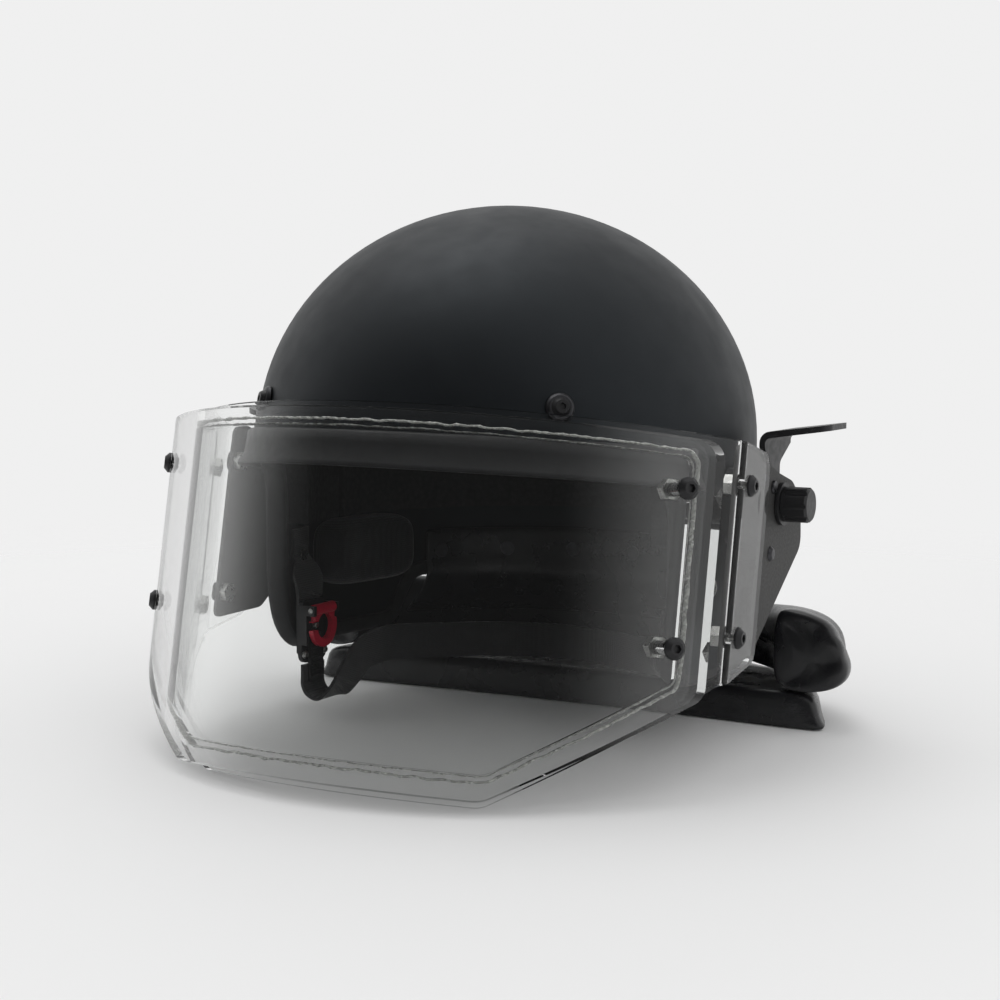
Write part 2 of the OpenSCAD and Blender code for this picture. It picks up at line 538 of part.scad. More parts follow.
// Point on the bead's edge at s, drawn in by w, with the columns past even_s moved in alike
even_s = 110;
function bead_point(s, w, o, up) = let(end = middle_s - w, r = bead_r - w / 2,
        q = s - sign(s) * w * max(0, abs(s) - even_s) / (middle_s - even_s), p = plan(q, o))
    [p.x, p.y, up ? inset_high(q, end, bead_top + w, r) : inset_low(q, end, bead_low + w, r)];
function bead_ring(s, up) = [bead_point(s, 0, middle_o, up), bead_point(s, 0, middle_o + middle_t, up),
    bead_point(s, bead_w, middle_o + middle_t, up), bead_point(s, bead_w, middle_o, up)];
bead_cols = inset_cols(middle_s, bead_r);
module seal_bead() color([0.8, 0.8, 0.78, 0.6]) in_place() on_visor() loft(concat(
    [for (s = bead_cols) bead_ring(s, true)], [for (s = bead_cols) bead_ring(-s, false)]), closed = true);
module front_plate() color([0.8, 0.9, 0.88, 0.4]) in_place() on_visor() difference() {
    inner_plate(front_o, front_o + front_t, front_s, front_top, front_low, 9);
    bolt_holes(bolt_s, bolt_rows);
}

// Button-head bolt whose head stands on a face at distance o and whose end lies at -e
module visor_bolt(o, e) difference() {
    union() {
        translate([0, 0, o + fix_gap]) cylinder(h = 1.2, d = head_d);
        translate([0, 0, o + fix_gap + 1.2]) cylinder(h = head_h - 1.2, d1 = head_d, d2 = 0.6 * head_d);
        translate([0, 0, -e]) cylinder(h = o + e + 1, d = bolt_d);
    }
    translate([0, 0, o + fix_gap + head_h - 1.8]) cylinder(h = 3, d = 4.2, $fn = 6);
}
module nut(o) translate([0, 0, -o - nut_h]) difference() {
    cylinder(h = nut_h, d = nut_w, $fn = 6);
    translate([0, 0, -1]) cylinder(h = nut_h + 2, d = bolt_d + 2 * fit_gap);
}
module at_bolts(s, rows) for (g = [-1, 1], t = rows) on_sheet(g * s, t) children();
module front_bolts() color([0.08, 0.08, 0.08]) in_place() on_visor() at_bolts(bolt_s, bolt_rows)
    visor_bolt(stack_t, nut_h + 1);
module front_nuts() color([0.3, 0.3, 0.3]) in_place() on_visor() at_bolts(bolt_s, bolt_rows) nut(run_gap);
module side_bolts() color([0.08, 0.08, 0.08]) in_place() on_visor() at_bolts(side_s, side_rows)
    visor_bolt(sheet_t, arm_t + nut_h + 1);
module side_nuts() color([0.3, 0.3, 0.3]) in_place() on_visor() at_bolts(side_s, side_rows)
    nut(arm_t + 2 * fix_gap);

// Arm plate in side view, its front edge parallel to the wing
side_y = plan(side_s, 0).y;
function lean(y, z) = y * cos(visor_tilt) + (z + y * sin(visor_tilt)) / cos(visor_tilt) * sin(visor_tilt);
arm_low = 55.5;
arm_high = 159;
arm_side = rounded([
    [lean(side_y - 6, arm_low), arm_low], [-30, arm_low], [-1.5, 73.6], [42.5, 101.2],
    [41, 126], [27, 136.5], [6, 142], [-22, 152], [lean(side_y - 6, arm_high) + 12, arm_high],
    [lean(side_y - 6, arm_high), arm_high]
], [4, 10, 0, 10, 12, 16, 12, 8, 4, 5]);
spring_y = -24;
spring_z = 142;
rivet_places = [[-6, 102], [spring_y, spring_z]];
module arm() difference() {
    side_plate(arm_x0, arm_x1) polygon(arm_side);
    at_pivot() across(arm_x0 - 1, arm_x1 + 1, stud_d + 2 * fit_gap);
    at_pivot() translate([0, lever_y, lever_up]) across(arm_x0 - 1, arm_x1 + 1, pin_d + 2 * fit_gap);
    for (p = rivet_places) translate([0, p.x, p.y]) across(arm_x0 - 1, arm_x1 + 1, 4.2);
    on_visor() bolt_holes(side_s, side_rows);
}
module arm_left() color([0.25, 0.25, 0.26]) in_place() arm();
module arm_right() color([0.25, 0.25, 0.26]) in_place() mirrored() arm();
spring_t = 0.8;
// The spring's rivet ends flush, because the visor's wing lies over it
module arm_rivets() color([0.6, 0.6, 0.62]) in_place() both_sides() for (k = [0, 1])
    translate([0, rivet_places[k].x, rivet_places[k].y]) {
        across(arm_x0 - 2.2, arm_x1 + (k == 0 ? 0.3 : 0), 4);
        if (k == 0) translate([arm_x1 + fix_gap, 0, 0]) rotate([0, 90, 0]) cylinder(h = 1.6, d1 = 8, d2 = 5);
        across(arm_x0 - 2.2, arm_x0 - 1.2, 7);
    }
module lever_pins() color([0.6, 0.6, 0.62]) in_place() both_sides() at_pivot()
    translate([0, lever_y, lever_up]) {
        across(lever_x0, arm_x1 + 0.3, pin_d);
        translate([arm_x1 + fix_gap, 0, 0]) rotate([0, 90, 0]) cylinder(h = 1.2, d1 = 7, d2 = 6);
    }

// Release lever: an upright blade on the arm's inner side that bends out into a finger tab
bend_z = 158;
blade_y = pivot_y + 3.5;
neck_y = pivot_y + 7;
pin_y = pivot_y + lever_y;
pin_z = pivot_z + lever_up;
// The tab rises outwards a little from the bend
tab_x = lever_x0 + tab_l;
tab_rise = 4.6;
lever_end = rounded([
    [lever_x0, bend_z - 2], [lever_x1, bend_z - 2], [lever_x1, bend_z + 2], [tab_x, bend_z + 2 + tab_rise],
    [tab_x, bend_z + 2 + lever_t + tab_rise], [lever_x0, bend_z + 2 + lever_t]
], [0, 0, 3, 0, 0, 6], 6);
module release_lever() difference() {
    union() {
        side_plate(lever_x0, lever_x1) polygon(rounded([
            [pin_y - 5.5, pin_z - 5.5], [pin_y + 4.5, pin_z - 5.5], [neck_y - 9, pin_z + 1.5],
            [neck_y, pin_z + 4], [neck_y, pivot_z + 21], [blade_y + tab_w / 2, bend_z - 2],
            [blade_y - tab_w / 2, bend_z - 2], [blade_y - tab_w / 2 + 2, bend_z - 6],
            [neck_y - 9, pivot_z + 19], [pin_y - 5.5, pin_z + 5]
        ], [5, 4, 3, 3, 4, 0, 0, 3, 4, 4]));
        intersection() {
            translate([0, blade_y + tab_w / 2, 0]) rotate([90, 0, 0]) linear_extrude(tab_w) polygon(lever_end);
            linear_extrude(2 * bend_z) polygon(rounded([
                [lever_x0 - 1, blade_y - tab_w / 2 - 1], [tab_x - 12, blade_y - tab_w / 2 - 1],
                [tab_x, blade_y - tab_w / 2 + 4], [tab_x, blade_y + tab_w / 2 - 4],
                [tab_x - 12, blade_y + tab_w / 2 + 1], [lever_x0 - 1, blade_y + tab_w / 2 + 1]
            ], [0, 8, 8, 8, 8, 0]));
        }
        at_pivot() rotate([tooth_a, 0, 0]) translate([ring_x1 - ring_t + 0.4, ring_d / 2 + run_gap, -1.4])
            cube([lever_t + ring_t, 3, 2.8]);
    }
    at_pivot() translate([0, lever_y, lever_up]) across(ring_x1, arm_x1, pin_d + 2 * fit_gap);
}
module release_lever_left() color([0.05, 0.05, 0.05]) in_place() release_lever();
module release_lever_right() color([0.05, 0.05, 0.05]) in_place() mirrored() release_lever();
// Leaf spring that presses the lever back
module lever_springs() color([0.6, 0.6, 0.62]) in_place() both_sides() difference() {
    union() {
        side_plate(arm_x0 - 1.1, arm_x0 - 0.2) polygon(rounded(box_points(9, 9, [spring_y, spring_z]), 2));
        side_plate(arm_x0 - 2.8, arm_x0 - 0.2) polygon([
            [spring_y + 3, spring_z - 3], [spring_y + 3, spring_z - 2], [pin_y - 5.9, spring_z - 2.4],
            [pin_y - 5.9, spring_z - 3.2]]);
    }
    translate([0, spring_y, spring_z]) across(arm_x0 - 3, arm_x0, 4.2);
}

// Webbing along a smooth path, its width along w at each of the path's points
function curve(p, n) = [for (i = [0:len(p) - 2], k = [0:n - 1]) let(
        a = p[max(i - 1, 0)], b = p[i], c = p[i + 1], d = p[min(i + 2, len(p) - 1)], t = k / n)
    b + t / 2 * (c - a + t * (2 * a - 5 * b + 4 * c - d + t * (3 * b - a - 3 * c + d)))];
function along(p, w) = [for (i = [0:len(p) - 1]) let(
        t = unit(p[min(i + 1, len(p) - 1)] - p[max(i - 1, 0)]),
        r = unit(w[i] - (w[i] * t) * t), u = cross(t, r))
    [for (q = [[-1, -1], [1, -1], [1, 1], [-1, 1]]) p[i] + r * q.x * web_w / 2 + u * q.y * web_t / 2]];
function smooth(p, n) = concat(curve(p, n), [p[len(p) - 1]]);
module webbing(p, w, n) loft(along(smooth(p, n), smooth(w, n)));

// Ratchet buckle inside the right cheek, seen from its own middle
buckle_at = [-95.5, -44, 51];
module at_buckle() translate(buckle_at) children();
wall_t = 2.5;
plate_x = -6;
hinge = [2.8, 0, 9.5];
hinge_d = 3;
buckle_rivet_places = [[0, 0], [-9.3, -15], [9.3, -15]];
module hinge_rod(w, d) translate([hinge.x, -w / 2, hinge.z]) rotate([-90, 0, 0]) cylinder(h = w, d = d);
module buckle_body() color([0.06, 0.06, 0.06]) in_place() at_buckle() difference() {
    union() {
        side_plate(plate_x, plate_x + wall_t) polygon(rounded(box_points(buckle_w, 34, [0, -3]), 5));
        for (g = [-1, 1]) side_plate(plate_x, 0) polygon(rounded(
            box_points(wall_t, 22, [g * (buckle_w - wall_t) / 2, 1]), 0.6));
        for (g = [-1, 1]) translate([-1, g * (buckle_w - wall_t) / 2 - wall_t / 2, hinge.z - 3])
            cube([hinge.x + 3.6, wall_t, 5.5]);
    }
    hinge_rod(2 * buckle_w, hinge_d + 2 * fit_gap);
    for (p = buckle_rivet_places) translate([0, p.x, p.y]) across(plate_x - 1, 0, 3.1);
}
module buckle_pin() color([0.6, 0.6, 0.62]) in_place() at_buckle() hinge_rod(buckle_w, hinge_d);
module buckle_rivets() color([0.8, 0.8, 0.78]) in_place() at_buckle() for (p = buckle_rivet_places)
    translate([plate_x + wall_t, p.x, p.y]) {
        across(-wall_t, 1, 3);
        translate([fix_gap, 0, 0]) rotate([0, 90, 0]) cylinder(h = p.x == 0 ? 2.4 : 1.8, d1 = 5, d2 = 3.2);
    }
ear_in = buckle_w / 2 - wall_t - run_gap;
module buckle_lever() color([0.6, 0.03, 0.08]) in_place() at_buckle() difference() {
    union() {
        difference() {
            across(1.2, 4.2, lever_d);
            across(0, 5, 14);
            translate([0, -lever_d, -1.5]) cube([6, lever_d, 4.5]);
            for (g = [-1, 1]) translate([0, g * (ear_in + lever_d / 2), hinge.z])
                cube([20, lever_d, 12], center = true);
        }
        intersection() {
            hinge_rod(2 * ear_in, 2 * hinge_d);
            translate([0, -ear_in, 0]) cube([6, 2 * ear_in, 20]);
        }
    }
    hinge_rod(2 * buckle_w, hinge_d + 2 * fit_gap);
}
tongue_x = plate_x + wall_t + run_gap;
module ratchet_tongue() color([0.07, 0.07, 0.07]) in_place() at_buckle() {
    side_plate(tongue_x, tongue_x + tongue_t - 0.6) polygon(rounded(box_points(tongue_w, 27, [0, -18]), 2));
    for (k = [0:9]) translate([tongue_x, -tongue_w / 2 + 1.5, -28 + 2.2 * k]) cube([tongue_t, tongue_w - 3, 1]);
}
strap_x = buckle_at.x + plate_x - soft_gap - web_t / 2;
strap_top = dome(strap_places[0].x, strap_places[0].y, -liner_o - 0.9 - web_t / 2);
strap_path = concat([for (z = [16, 8, 0]) [strap_top.x, strap_top.y, strap_top.z + z]],
    [[112, -31, 79.5], [-strap_x + 3.5, -39.5, 73.5]]);
// The wall's slope across the strap's width
strap_turn = [[0.2, 1, 0], [0.2, 1, 0], [0.2, 1, 0], [0.1, 1, 0], [0, 1, 0]];
right_path = concat([for (p = strap_path) [-p.x, p.y, p.z]],
    [for (z = [68, 60, 52, 44, 36]) [strap_x, buckle_at.y, z]]);
left_path = concat([for (p = strap_path) [p.x, max(p.y, strap_top.y), p.z]],
    [[-strap_x, strap_top.y + 1, 62], [-strap_x - 1, strap_top.y + 4, 44]]);
module strap_right() color([0.05, 0.05, 0.05]) in_place()
    webbing(right_path, concat([for (w = strap_turn) [-w.x, w.y, w.z]], [for (k = [1:5]) [0, 1, 0]]), 4);
module strap_left() color([0.05, 0.05, 0.05]) in_place()
    webbing(left_path, concat(strap_turn, [for (k = [1:2]) [0, 1, 0]]), 4);
// The chin strap hangs from the ratchet's tongue and lies tucked over the neck guard's cushion
chin_x = buckle_at.x + tongue_x - soft_gap - web_t / 2;
chin_end = -strap_x - web_t - soft_gap;
chin_path = [
    [chin_x, buckle_at.y, 30], [chin_x, buckle_at.y, 24], [chin_x, buckle_at.y, 18.5],
    [chin_x + 3, buckle_at.y, 14], [-91, -43, 12.2],
    [-84.5, -40, 17], [-82, -31, 26], [-83, -16, 33], [-80, 6, 35], [-66, 36, 33], [-38, 62, 32], [0, 72, 32],
    [40, 62, 32], [72, 36, 35], [90, 6, 41], [chin_end - 3.5, strap_top.y + 14, 46],
    [chin_end - 1.4, strap_top.y + 2, 52], [chin_end - 0.4, strap_top.y, 60]];
chin_turn = [
    [0, 1, 0], [0, 1, 0], [0, 1, 0], [0, 1, 0], [0, 1, 0],
    [0, 1, -0.2], [0, 0.8, -0.6], [0, 0.3, -1], [0, 0, -1], [0, 0, -1], [0, 0, -1], [0, 0, -1],
    [0, 0, -1], [0, 0, -1], [0, -0.3, -1], [0, -0.7, -0.7],
    [0, -1, -0.3], [0, -1, 0]];
module chin_strap() color([0.05, 0.05, 0.05]) in_place() webbing(chin_path, chin_turn, 5);
module strap_rivets() color([0.75, 0.75, 0.72]) in_place() for (p = strap_places) on_dome(p.x, p.y)
    rivet(liner_o + web_t + 1.2);

// The origin lies under the middle of the helmet's box
front_reach = (visor_face + stack_t) * cos(visor_tilt) - (low_t(0) + front_low) * sin(visor_tilt);
mid_y = (guard_b - front_reach) / 2;

shell();
edge_trim();
brow_seal();
impact_liner();
crown_pad();
front_pad();
rear_pad();
side_pad_left();
side_pad_right();
cheek_pad_left();
cheek_pad_right();
neck_guard();
neck_guard_cushion();
neck_guard_flap();
neck_guard_rivets();
shell_bolts();
cup_washers();
shell_nuts();
pivot_base_left();
pivot_base_right();
pivot_base_screws();
pivot_studs();
detent_rings();
friction_washers();
knob_washers();
knob_left();
knob_right();
base_sheet();
middle_plate();
seal_bead();
front_plate();
front_bolts();
front_nuts();
side_bolts();
side_nuts();
arm_left();
arm_right();
arm_rivets();
lever_pins();
lever_springs();
release_lever_left();
release_lever_right();
chin_strap();
strap_left();
strap_right();
strap_rivets();
buckle_body();
buckle_pin();
buckle_rivets();
buckle_lever();
ratchet_tongue();
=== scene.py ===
"""A tactical helmet with a thick clear visor, dressed around its packed frame."""

import json
import math

import bmesh
import bpy
import numpy as np
from mathutils import Matrix, Vector, noise


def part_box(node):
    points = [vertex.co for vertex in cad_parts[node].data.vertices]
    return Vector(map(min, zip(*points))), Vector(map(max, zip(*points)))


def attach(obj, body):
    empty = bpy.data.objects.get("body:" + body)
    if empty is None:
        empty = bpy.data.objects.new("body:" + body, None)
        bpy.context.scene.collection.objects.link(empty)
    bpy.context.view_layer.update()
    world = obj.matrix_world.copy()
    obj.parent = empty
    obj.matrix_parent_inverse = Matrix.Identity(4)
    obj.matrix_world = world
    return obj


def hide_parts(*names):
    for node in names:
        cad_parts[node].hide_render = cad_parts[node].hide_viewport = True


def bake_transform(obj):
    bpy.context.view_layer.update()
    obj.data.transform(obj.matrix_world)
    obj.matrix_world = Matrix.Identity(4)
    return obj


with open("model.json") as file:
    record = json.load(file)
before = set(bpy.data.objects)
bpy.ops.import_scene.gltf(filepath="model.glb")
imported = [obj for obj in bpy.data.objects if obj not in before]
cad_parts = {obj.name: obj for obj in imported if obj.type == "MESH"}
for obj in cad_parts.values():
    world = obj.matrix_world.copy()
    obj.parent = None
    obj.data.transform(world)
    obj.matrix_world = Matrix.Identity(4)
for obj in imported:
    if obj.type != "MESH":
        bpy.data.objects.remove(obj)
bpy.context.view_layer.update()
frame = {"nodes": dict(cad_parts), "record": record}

bl_info = {
    "name": "Tactical helmet",
    "version": (1, 0, 0),
    "blender": (4, 5, 0),
    "location": "3D View > Sidebar > Helmet",
    "description": "Builds a tactical helmet with a clear visor, its fittings and its materials",
    "category": "Object",
}

MM = 0.001
BODY_OF = {n: b for b, names in frame["record"]["behaviour"]["bodies"].items() for n in names}
# The row frame's origin lies this far behind the helmet's own middle line
MIDDLE = 17.8712 * MM
# Clearance between pieces that lie against each other
GAP = 0.3 * MM
# Beyond every piece
FAR = 0.3


def length(name, value, text):
    return bpy.props.FloatProperty(name=name, description=text, default=value, min=0.0, unit="LENGTH")


def turn(name, degrees, text):
    angle = math.radians(degrees)
    return bpy.props.FloatProperty(name=name, description=text, default=angle, unit="ROTATION")


def amount(name, value, text):
    return bpy.props.FloatProperty(name=name, description=text, default=value, min=0.0)


def colour(name, value, text):
    return bpy.props.FloatVectorProperty(
        name=name, description=text, default=value, size=3, min=0.0, max=1.0, subtype="COLOR"
    )


class HelmetShellSizes(bpy.types.PropertyGroup):
    """Sizes of the shell, its edging and its brow seal"""

    half_width: length("Half width", 0.132, "Half of the shell's outer width")
    half_length: length("Half length", 0.142, "Half of the shell's outer length")
    rise: length("Rise", 0.124, "Height of the dome above its widest level")
    widest: length("Widest level", 0.1555, "Height at which the dome is widest")
    waist: length("Waist", 0.0825, "Height at which the side walls start to tuck in")
    tuck: length("Tuck", 0.115, "Radius of the tucked part of the side walls")
    wall: length("Wall", 0.008, "Thickness of the shell")
    cheek_low: length("Cheek height", 0.038, "Height of the cheeks' lower edge")
    rim: length("Rim height", 0.0655, "Height of the rear rim")
    cheek_front: length("Cheek front", 0.054, "How far the cheeks reach in front of the middle")
    cheek_back: length("Cheek back", 0.052, "How far the cheeks reach behind the middle")
    brow: length("Brow", 0.141, "Height of the brow edge above the cheek's front")
    brow_slope: turn("Brow slope", 7.5, "Rise of the brow edge towards the front")
    trim: length("Edging thickness", 0.0016, "Thickness of the rubber edging")
    trim_depth: length("Edging depth", 0.007, "How far the edging covers the shell")
    seal_low: length("Seal height", 0.149, "Height of the brow seal's lower lip")
    seal_height: length("Seal size", 0.0165, "Height of the brow seal")
    seal_reach: turn("Seal reach", 70, "How far round the front the brow seal reaches on each side")


class HelmetVisorSizes(bpy.types.PropertyGroup):
    """Sizes of the visor's bonded layers"""

    width: length("Width", 0.3032, "Outer width between the wings")
    radius: length("Face radius", 0.168, "Radius of the wide arc in plan")
    bend: length("Bend radius", 0.0105, "Inner radius of the bend to each wing")
    face: length("Face distance", 0.182, "How far the inner face lies in front of the middle")
    tilt: turn("Tilt", 11.2, "How far the visor leans back")
    top: length("Top", 0.1494, "Height of the upper edge along the visor")
    flat: length("Flat edge", 0.075, "Half of the lower edge's straight middle part")
    wing_height: length("Wing height", 0.104, "Height of the wings")
    wing: length("Wing length", 0.033, "Length of the flat wings")
    sheet: length("Sheet", 0.005, "Thickness of the base sheet")
    middle: length("Middle layer", 0.0037, "Thickness of the bonded middle layer")
    front: length("Front plate", 0.011, "Thickness of the front plate")
    bond: length("Bond", 0.00015, "Gap between the layers")
    front_reach: length("Front plate reach", 0.167, "Half length of the front plate along the arc")
    middle_reach: length("Middle layer reach", 0.1595, "Half length of the middle layer with its bead")
    bead: length("Bead", 0.004, "Width of the sealing bead")
    bolt_reach: length("Bolt reach", 0.1502, "Where the front bolts stand along the arc")
    bolt_drop: length("Bolt drop", 0.030, "How far the upper bolts lie below the top")
    bolt_pitch: length("Bolt pitch", 0.0728, "Distance between upper and lower bolts")
    side_in: length("Side bolt inset", 0.027, "How far the side bolts lie inside the wings' ends")
    hole: length("Bolt hole", 0.0066, "Diameter of the bolt holes")


class NeckGuardSizes(bpy.types.PropertyGroup):
    """Sizes of the neck guard and the pads"""

    band: length("Cushion height", 0.020, "Height of the cushion under the roll")
    half_width: length("Half width", 0.1745, "Half width of the roll")
    back: length("Back", 0.168, "How far the roll reaches behind the middle")
    start: length("Start", 0.052, "How far the roll's ends lie behind the middle")
    depth: length("Depth", 0.042, "Depth of the roll at its ends")
    nape_depth: length("Nape depth", 0.0242, "Depth of the roll at the nape")
    pad: length("Pad thickness", 0.012, "Thickness of the comfort pads")
    cheek_pad: length("Cheek pad thickness", 0.020, "Thickness of the cheek pads")
    liner: length("Liner thickness", 0.014, "Thickness of the impact liner")


class HelmetColours(bpy.types.PropertyGroup):
    """Colours of the helmet's finishes"""

    paint: colour("Shell paint", (0.0062, 0.0068, 0.0078), "Satin black paint of the shell")
    rubber: colour("Rubber", (0.013, 0.013, 0.014), "Edging and brow seal")
    foam: colour("Foam", (0.014, 0.014, 0.015), "Impact liner")
    knit: colour("Pad cover", (0.012, 0.012, 0.0135), "Knitted cover of the pads")
    leather: colour("Leather", (0.0085, 0.0085, 0.0095), "Neck guard")
    webbing: colour("Webbing", (0.012, 0.012, 0.013), "Straps")
    arm: colour("Arm coat", (0.03, 0.0295, 0.029), "Powder coat of the arms")
    black: colour("Blackened steel", (0.014, 0.014, 0.015), "Bolts and release levers")
    zinc: colour("Zinc", (0.62, 0.62, 0.6), "Plated nuts, rivets and studs")
    dark_zinc: colour("Dark zinc", (0.075, 0.075, 0.08), "Blackened zinc of the rivets and cup washers")
    plastic: colour("Black plastic", (0.012, 0.012, 0.013), "Knobs, pivot bases and buckle")
    fibre: colour("Fibre", (0.13, 0.06, 0.03), "Friction washers")
    red: colour("Ring lever", (0.42, 0.008, 0.03), "Buckle's ring lever")
    clear: colour("Clear sheet", (0.995, 0.998, 0.996), "Polished clear plates")
    sealant: colour("Sealant", (0.62, 0.63, 0.6), "Bead between the plates")
    floor: colour("Floor", (0.84, 0.84, 0.84), "Pale floor")


class StageSettings(bpy.types.PropertyGroup):
    """Background and lights"""

    shade: amount("Background", 0.87, "Brightness of the pale background")
    fill: amount("Fill", 0.8, "Brightness of the light from all round")
    mirror: amount("Mirrored room", 0.05, "Brightness of the room in front that shiny surfaces mirror")
    around: amount("Mirrored walls", 0.75, "Brightness of the walls and ceiling that shiny surfaces mirror")
    key: amount("Key light", 5.0, "Power of the large overhead light in watts")
    side: amount("Side light", 4.0, "Power of the light beside the camera in watts")
    rim: amount("Rear light", 3.0, "Power of the light behind the helmet in watts")


GROUPS = {
    "helmet_shell": HelmetShellSizes,
    "helmet_visor": HelmetVisorSizes,
    "helmet_guard": NeckGuardSizes,
    "helmet_colours": HelmetColours,
    "helmet_stage": StageSettings,
}


def settings(name):
    return getattr(bpy.context.scene, name)


# Materials: each is a small node tree on Object coordinates


class Nodes:
    """A node tree that is built up one node at a time."""

    def __init__(self, tree):
        self.tree = tree

    def put(self, node, slot, value):
        """Sets an input to a value, or links it to another node's output."""
        if isinstance(value, bpy.types.NodeSocket):
            self.tree.links.new(value, node.inputs[slot])
        else:
            node.inputs[slot].default_value = value

    def node(self, kind, **inputs):
        made = self.tree.nodes.new(kind)
        for name, value in inputs.items():
            self.put(made, name, value)
        return made

    def spread(self, socket, low, high, start=0.0, stop=1.0, kind="LINEAR"):
        """A value from low to high, as the socket goes from start to stop."""
        node = self.node("ShaderNodeMapRange", Value=socket)
        node.interpolation_type = kind
        for name, value in (("From Min", start), ("From Max", stop), ("To Min", low), ("To Max", high)):
            self.put(node, name, value)
        return node.outputs["Result"]


class Finish(Nodes):
    """A material in one of the helmet's colours. Depths of its relief are in millimetres."""

    def __init__(self, name, base, rough, metallic=0.0):
        self.material = bpy.data.materials.get(name) or bpy.data.materials.new(name)
        self.material.use_nodes = True
        super().__init__(self.material.node_tree)
        self.shader = self.tree.nodes["Principled BSDF"]
        self.base = getattr(settings("helmet_colours"), base)
        self.place = self.node("ShaderNodeTexCoord").outputs["Object"]
        self.set("Base Color", (*self.base, 1.0))
        self.set("Roughness", rough)
        self.set("Metallic", metallic)

    def set(self, name, value):
        self.put(self.shader, name, value)

    def mapped(self, *scale):
        return self.node("ShaderNodeMapping", Vector=self.place, Scale=scale).outputs["Vector"]

    def noise(self, scale, detail, distortion=0.0):
        node = self.node(
            "ShaderNodeTexNoise", Vector=self.place, Scale=scale, Detail=detail, Distortion=distortion
        )
        return node.outputs["Fac"]

    def cells(self, scale, feature="F1", place=None):
        node = self.node("ShaderNodeTexVoronoi", Vector=place or self.place, Scale=scale)
        node.feature = feature
        return node.outputs["Distance"]

    def waves(self, scale, direction, place=None):
        node = self.node("ShaderNodeTexWave", Vector=place or self.place, Scale=scale)
        node.bands_direction = direction
        return node.outputs["Fac"]

    def maths(self, operation, a, b):
        node = self.node("ShaderNodeMath")
        node.operation = operation
        self.put(node, 0, a)
        self.put(node, 1, b)
        return node.outputs["Value"]

    def tint(self, factor, low, high):
        """Base colour from low to high times its own colour, as factor goes from 0 to 1."""
        node = self.tree.nodes.new("ShaderNodeMix")
        node.data_type = "RGBA"
        ends = [s for s in node.inputs if s.type == "RGBA"]
        for end, share in zip(ends, (low, high)):
            end.default_value = (*(min(1.0, c * share) for c in self.base), 1.0)
        self.put(node, 0, factor)
        self.set("Base Color", next(s for s in node.outputs if s.type == "RGBA"))

    def bump(self, height, depth, strength, under=None):
        node = self.node("ShaderNodeBump", Height=height, Distance=depth * MM, Strength=strength)
        if under:
            self.put(node, "Normal", under)
        self.set("Normal", node.outputs["Normal"])
        return node.outputs["Normal"]

    def mottled(self, scale, detail, low, high):
        """Colour that wanders from low to high times the base colour."""
        self.tint(self.noise(scale, detail), low, high)

    def worn(self, scale, detail, low, high):
        """Roughness that wanders from low to high."""
        self.set("Roughness", self.spread(self.noise(scale, detail), low, high, 0.3, 0.7))

    def grain(self, scale, detail, depth, strength, under=None):
        return self.bump(self.noise(scale, detail), depth, strength, under)

    def mixed(self, factor, first, second):
        """Shows the first shader, and by factor the second."""
        mix = self.node("ShaderNodeMixShader")
        for slot, value in enumerate((factor, first.outputs["BSDF"], second.outputs["BSDF"])):
            self.put(mix, slot, value)
        self.put(self.tree.nodes["Material Output"], "Surface", mix.outputs["Shader"])

    def lets_light_through(self, shader, colour=(1.0, 1.0, 1.0)):
        through = self.node("ShaderNodeBsdfTransparent", Color=(*colour, 1.0))
        self.mixed(self.node("ShaderNodeLightPath").outputs["Is Shadow Ray"], shader, through)


def layered(first, mottled, worn, *grains):
    """A finish with mottled colour, worn roughness and layers of grain, the lowest layer first."""
    f = Finish(*first)
    f.mottled(*mottled)
    if worn:
        f.worn(*worn)
    under = None
    for layer in grains:
        under = f.grain(*layer, under)
    return f


def shell_paint():
    f = layered(
        ("satin_paint", "paint", 0.5), (9.0, 4.0, 0.85, 1.25), (60.0, 6.0, 0.44, 0.53),
        (180.0, 2.0, 0.04, 0.4), (1500.0, 3.0, 0.06, 0.5)
    )
    f.set("Specular IOR Level", 0.34)
    f.set("Specular Tint", (0.82, 0.92, 1.0, 1.0))
    return f


def rubber(name, rough):
    return layered(
        (name, "rubber", rough), (70.0, 5.0, 0.7, 1.6), (260.0, 4.0, rough - 0.06, rough + 0.08),
        (160.0, 3.0, 0.12, 0.4), (1400.0, 3.0, 0.08, 0.5)
    )


def liner_foam():
    f = Finish("closed_cell_foam", "foam", 0.85)
    beads = f.cells(330.0)
    f.tint(beads, 1.3, 0.6)
    f.bump(beads, 0.6, 0.5)
    return f


def pad_knit():
    f = Finish("brushed_knit", "knit", 0.9)
    f.mottled(500.0, 4.0, 0.6, 1.7)
    rows = f.maths("MULTIPLY", f.waves(260.0, "Z"), f.waves(260.0, "X"))
    f.bump(rows, 0.3, 0.5, f.grain(900.0, 4.0, 0.3, 0.5))
    f.set("Sheen Weight", 0.3)
    f.set("Sheen Roughness", 0.5)
    return f


def guard_leather():
    f = Finish("soft_leather", "leather", 0.4)
    f.mottled(25.0, 5.0, 0.75, 1.7)
    f.worn(48.0, 5.0, 0.2, 0.36)
    pores = f.cells(850.0, "DISTANCE_TO_EDGE", f.mapped(1.0, 1.0, 1.25))
    f.bump(pores, 0.22, 0.45, f.bump(f.noise(42.0, 6.0, 1.4), 1.1, 0.4))
    f.set("Specular IOR Level", 0.6)
    return f


def strap_webbing():
    f = Finish("woven_webbing", "webbing", 0.75)
    weave = f.maths("MAXIMUM", f.waves(420.0, "Y", f.mapped(1.0, 1.0, 0.5)), f.waves(300.0, "Z"))
    f.tint(weave, 0.5, 1.7)
    f.bump(weave, 0.3, 0.7)
    f.set("Sheen Weight", 0.2)
    return f


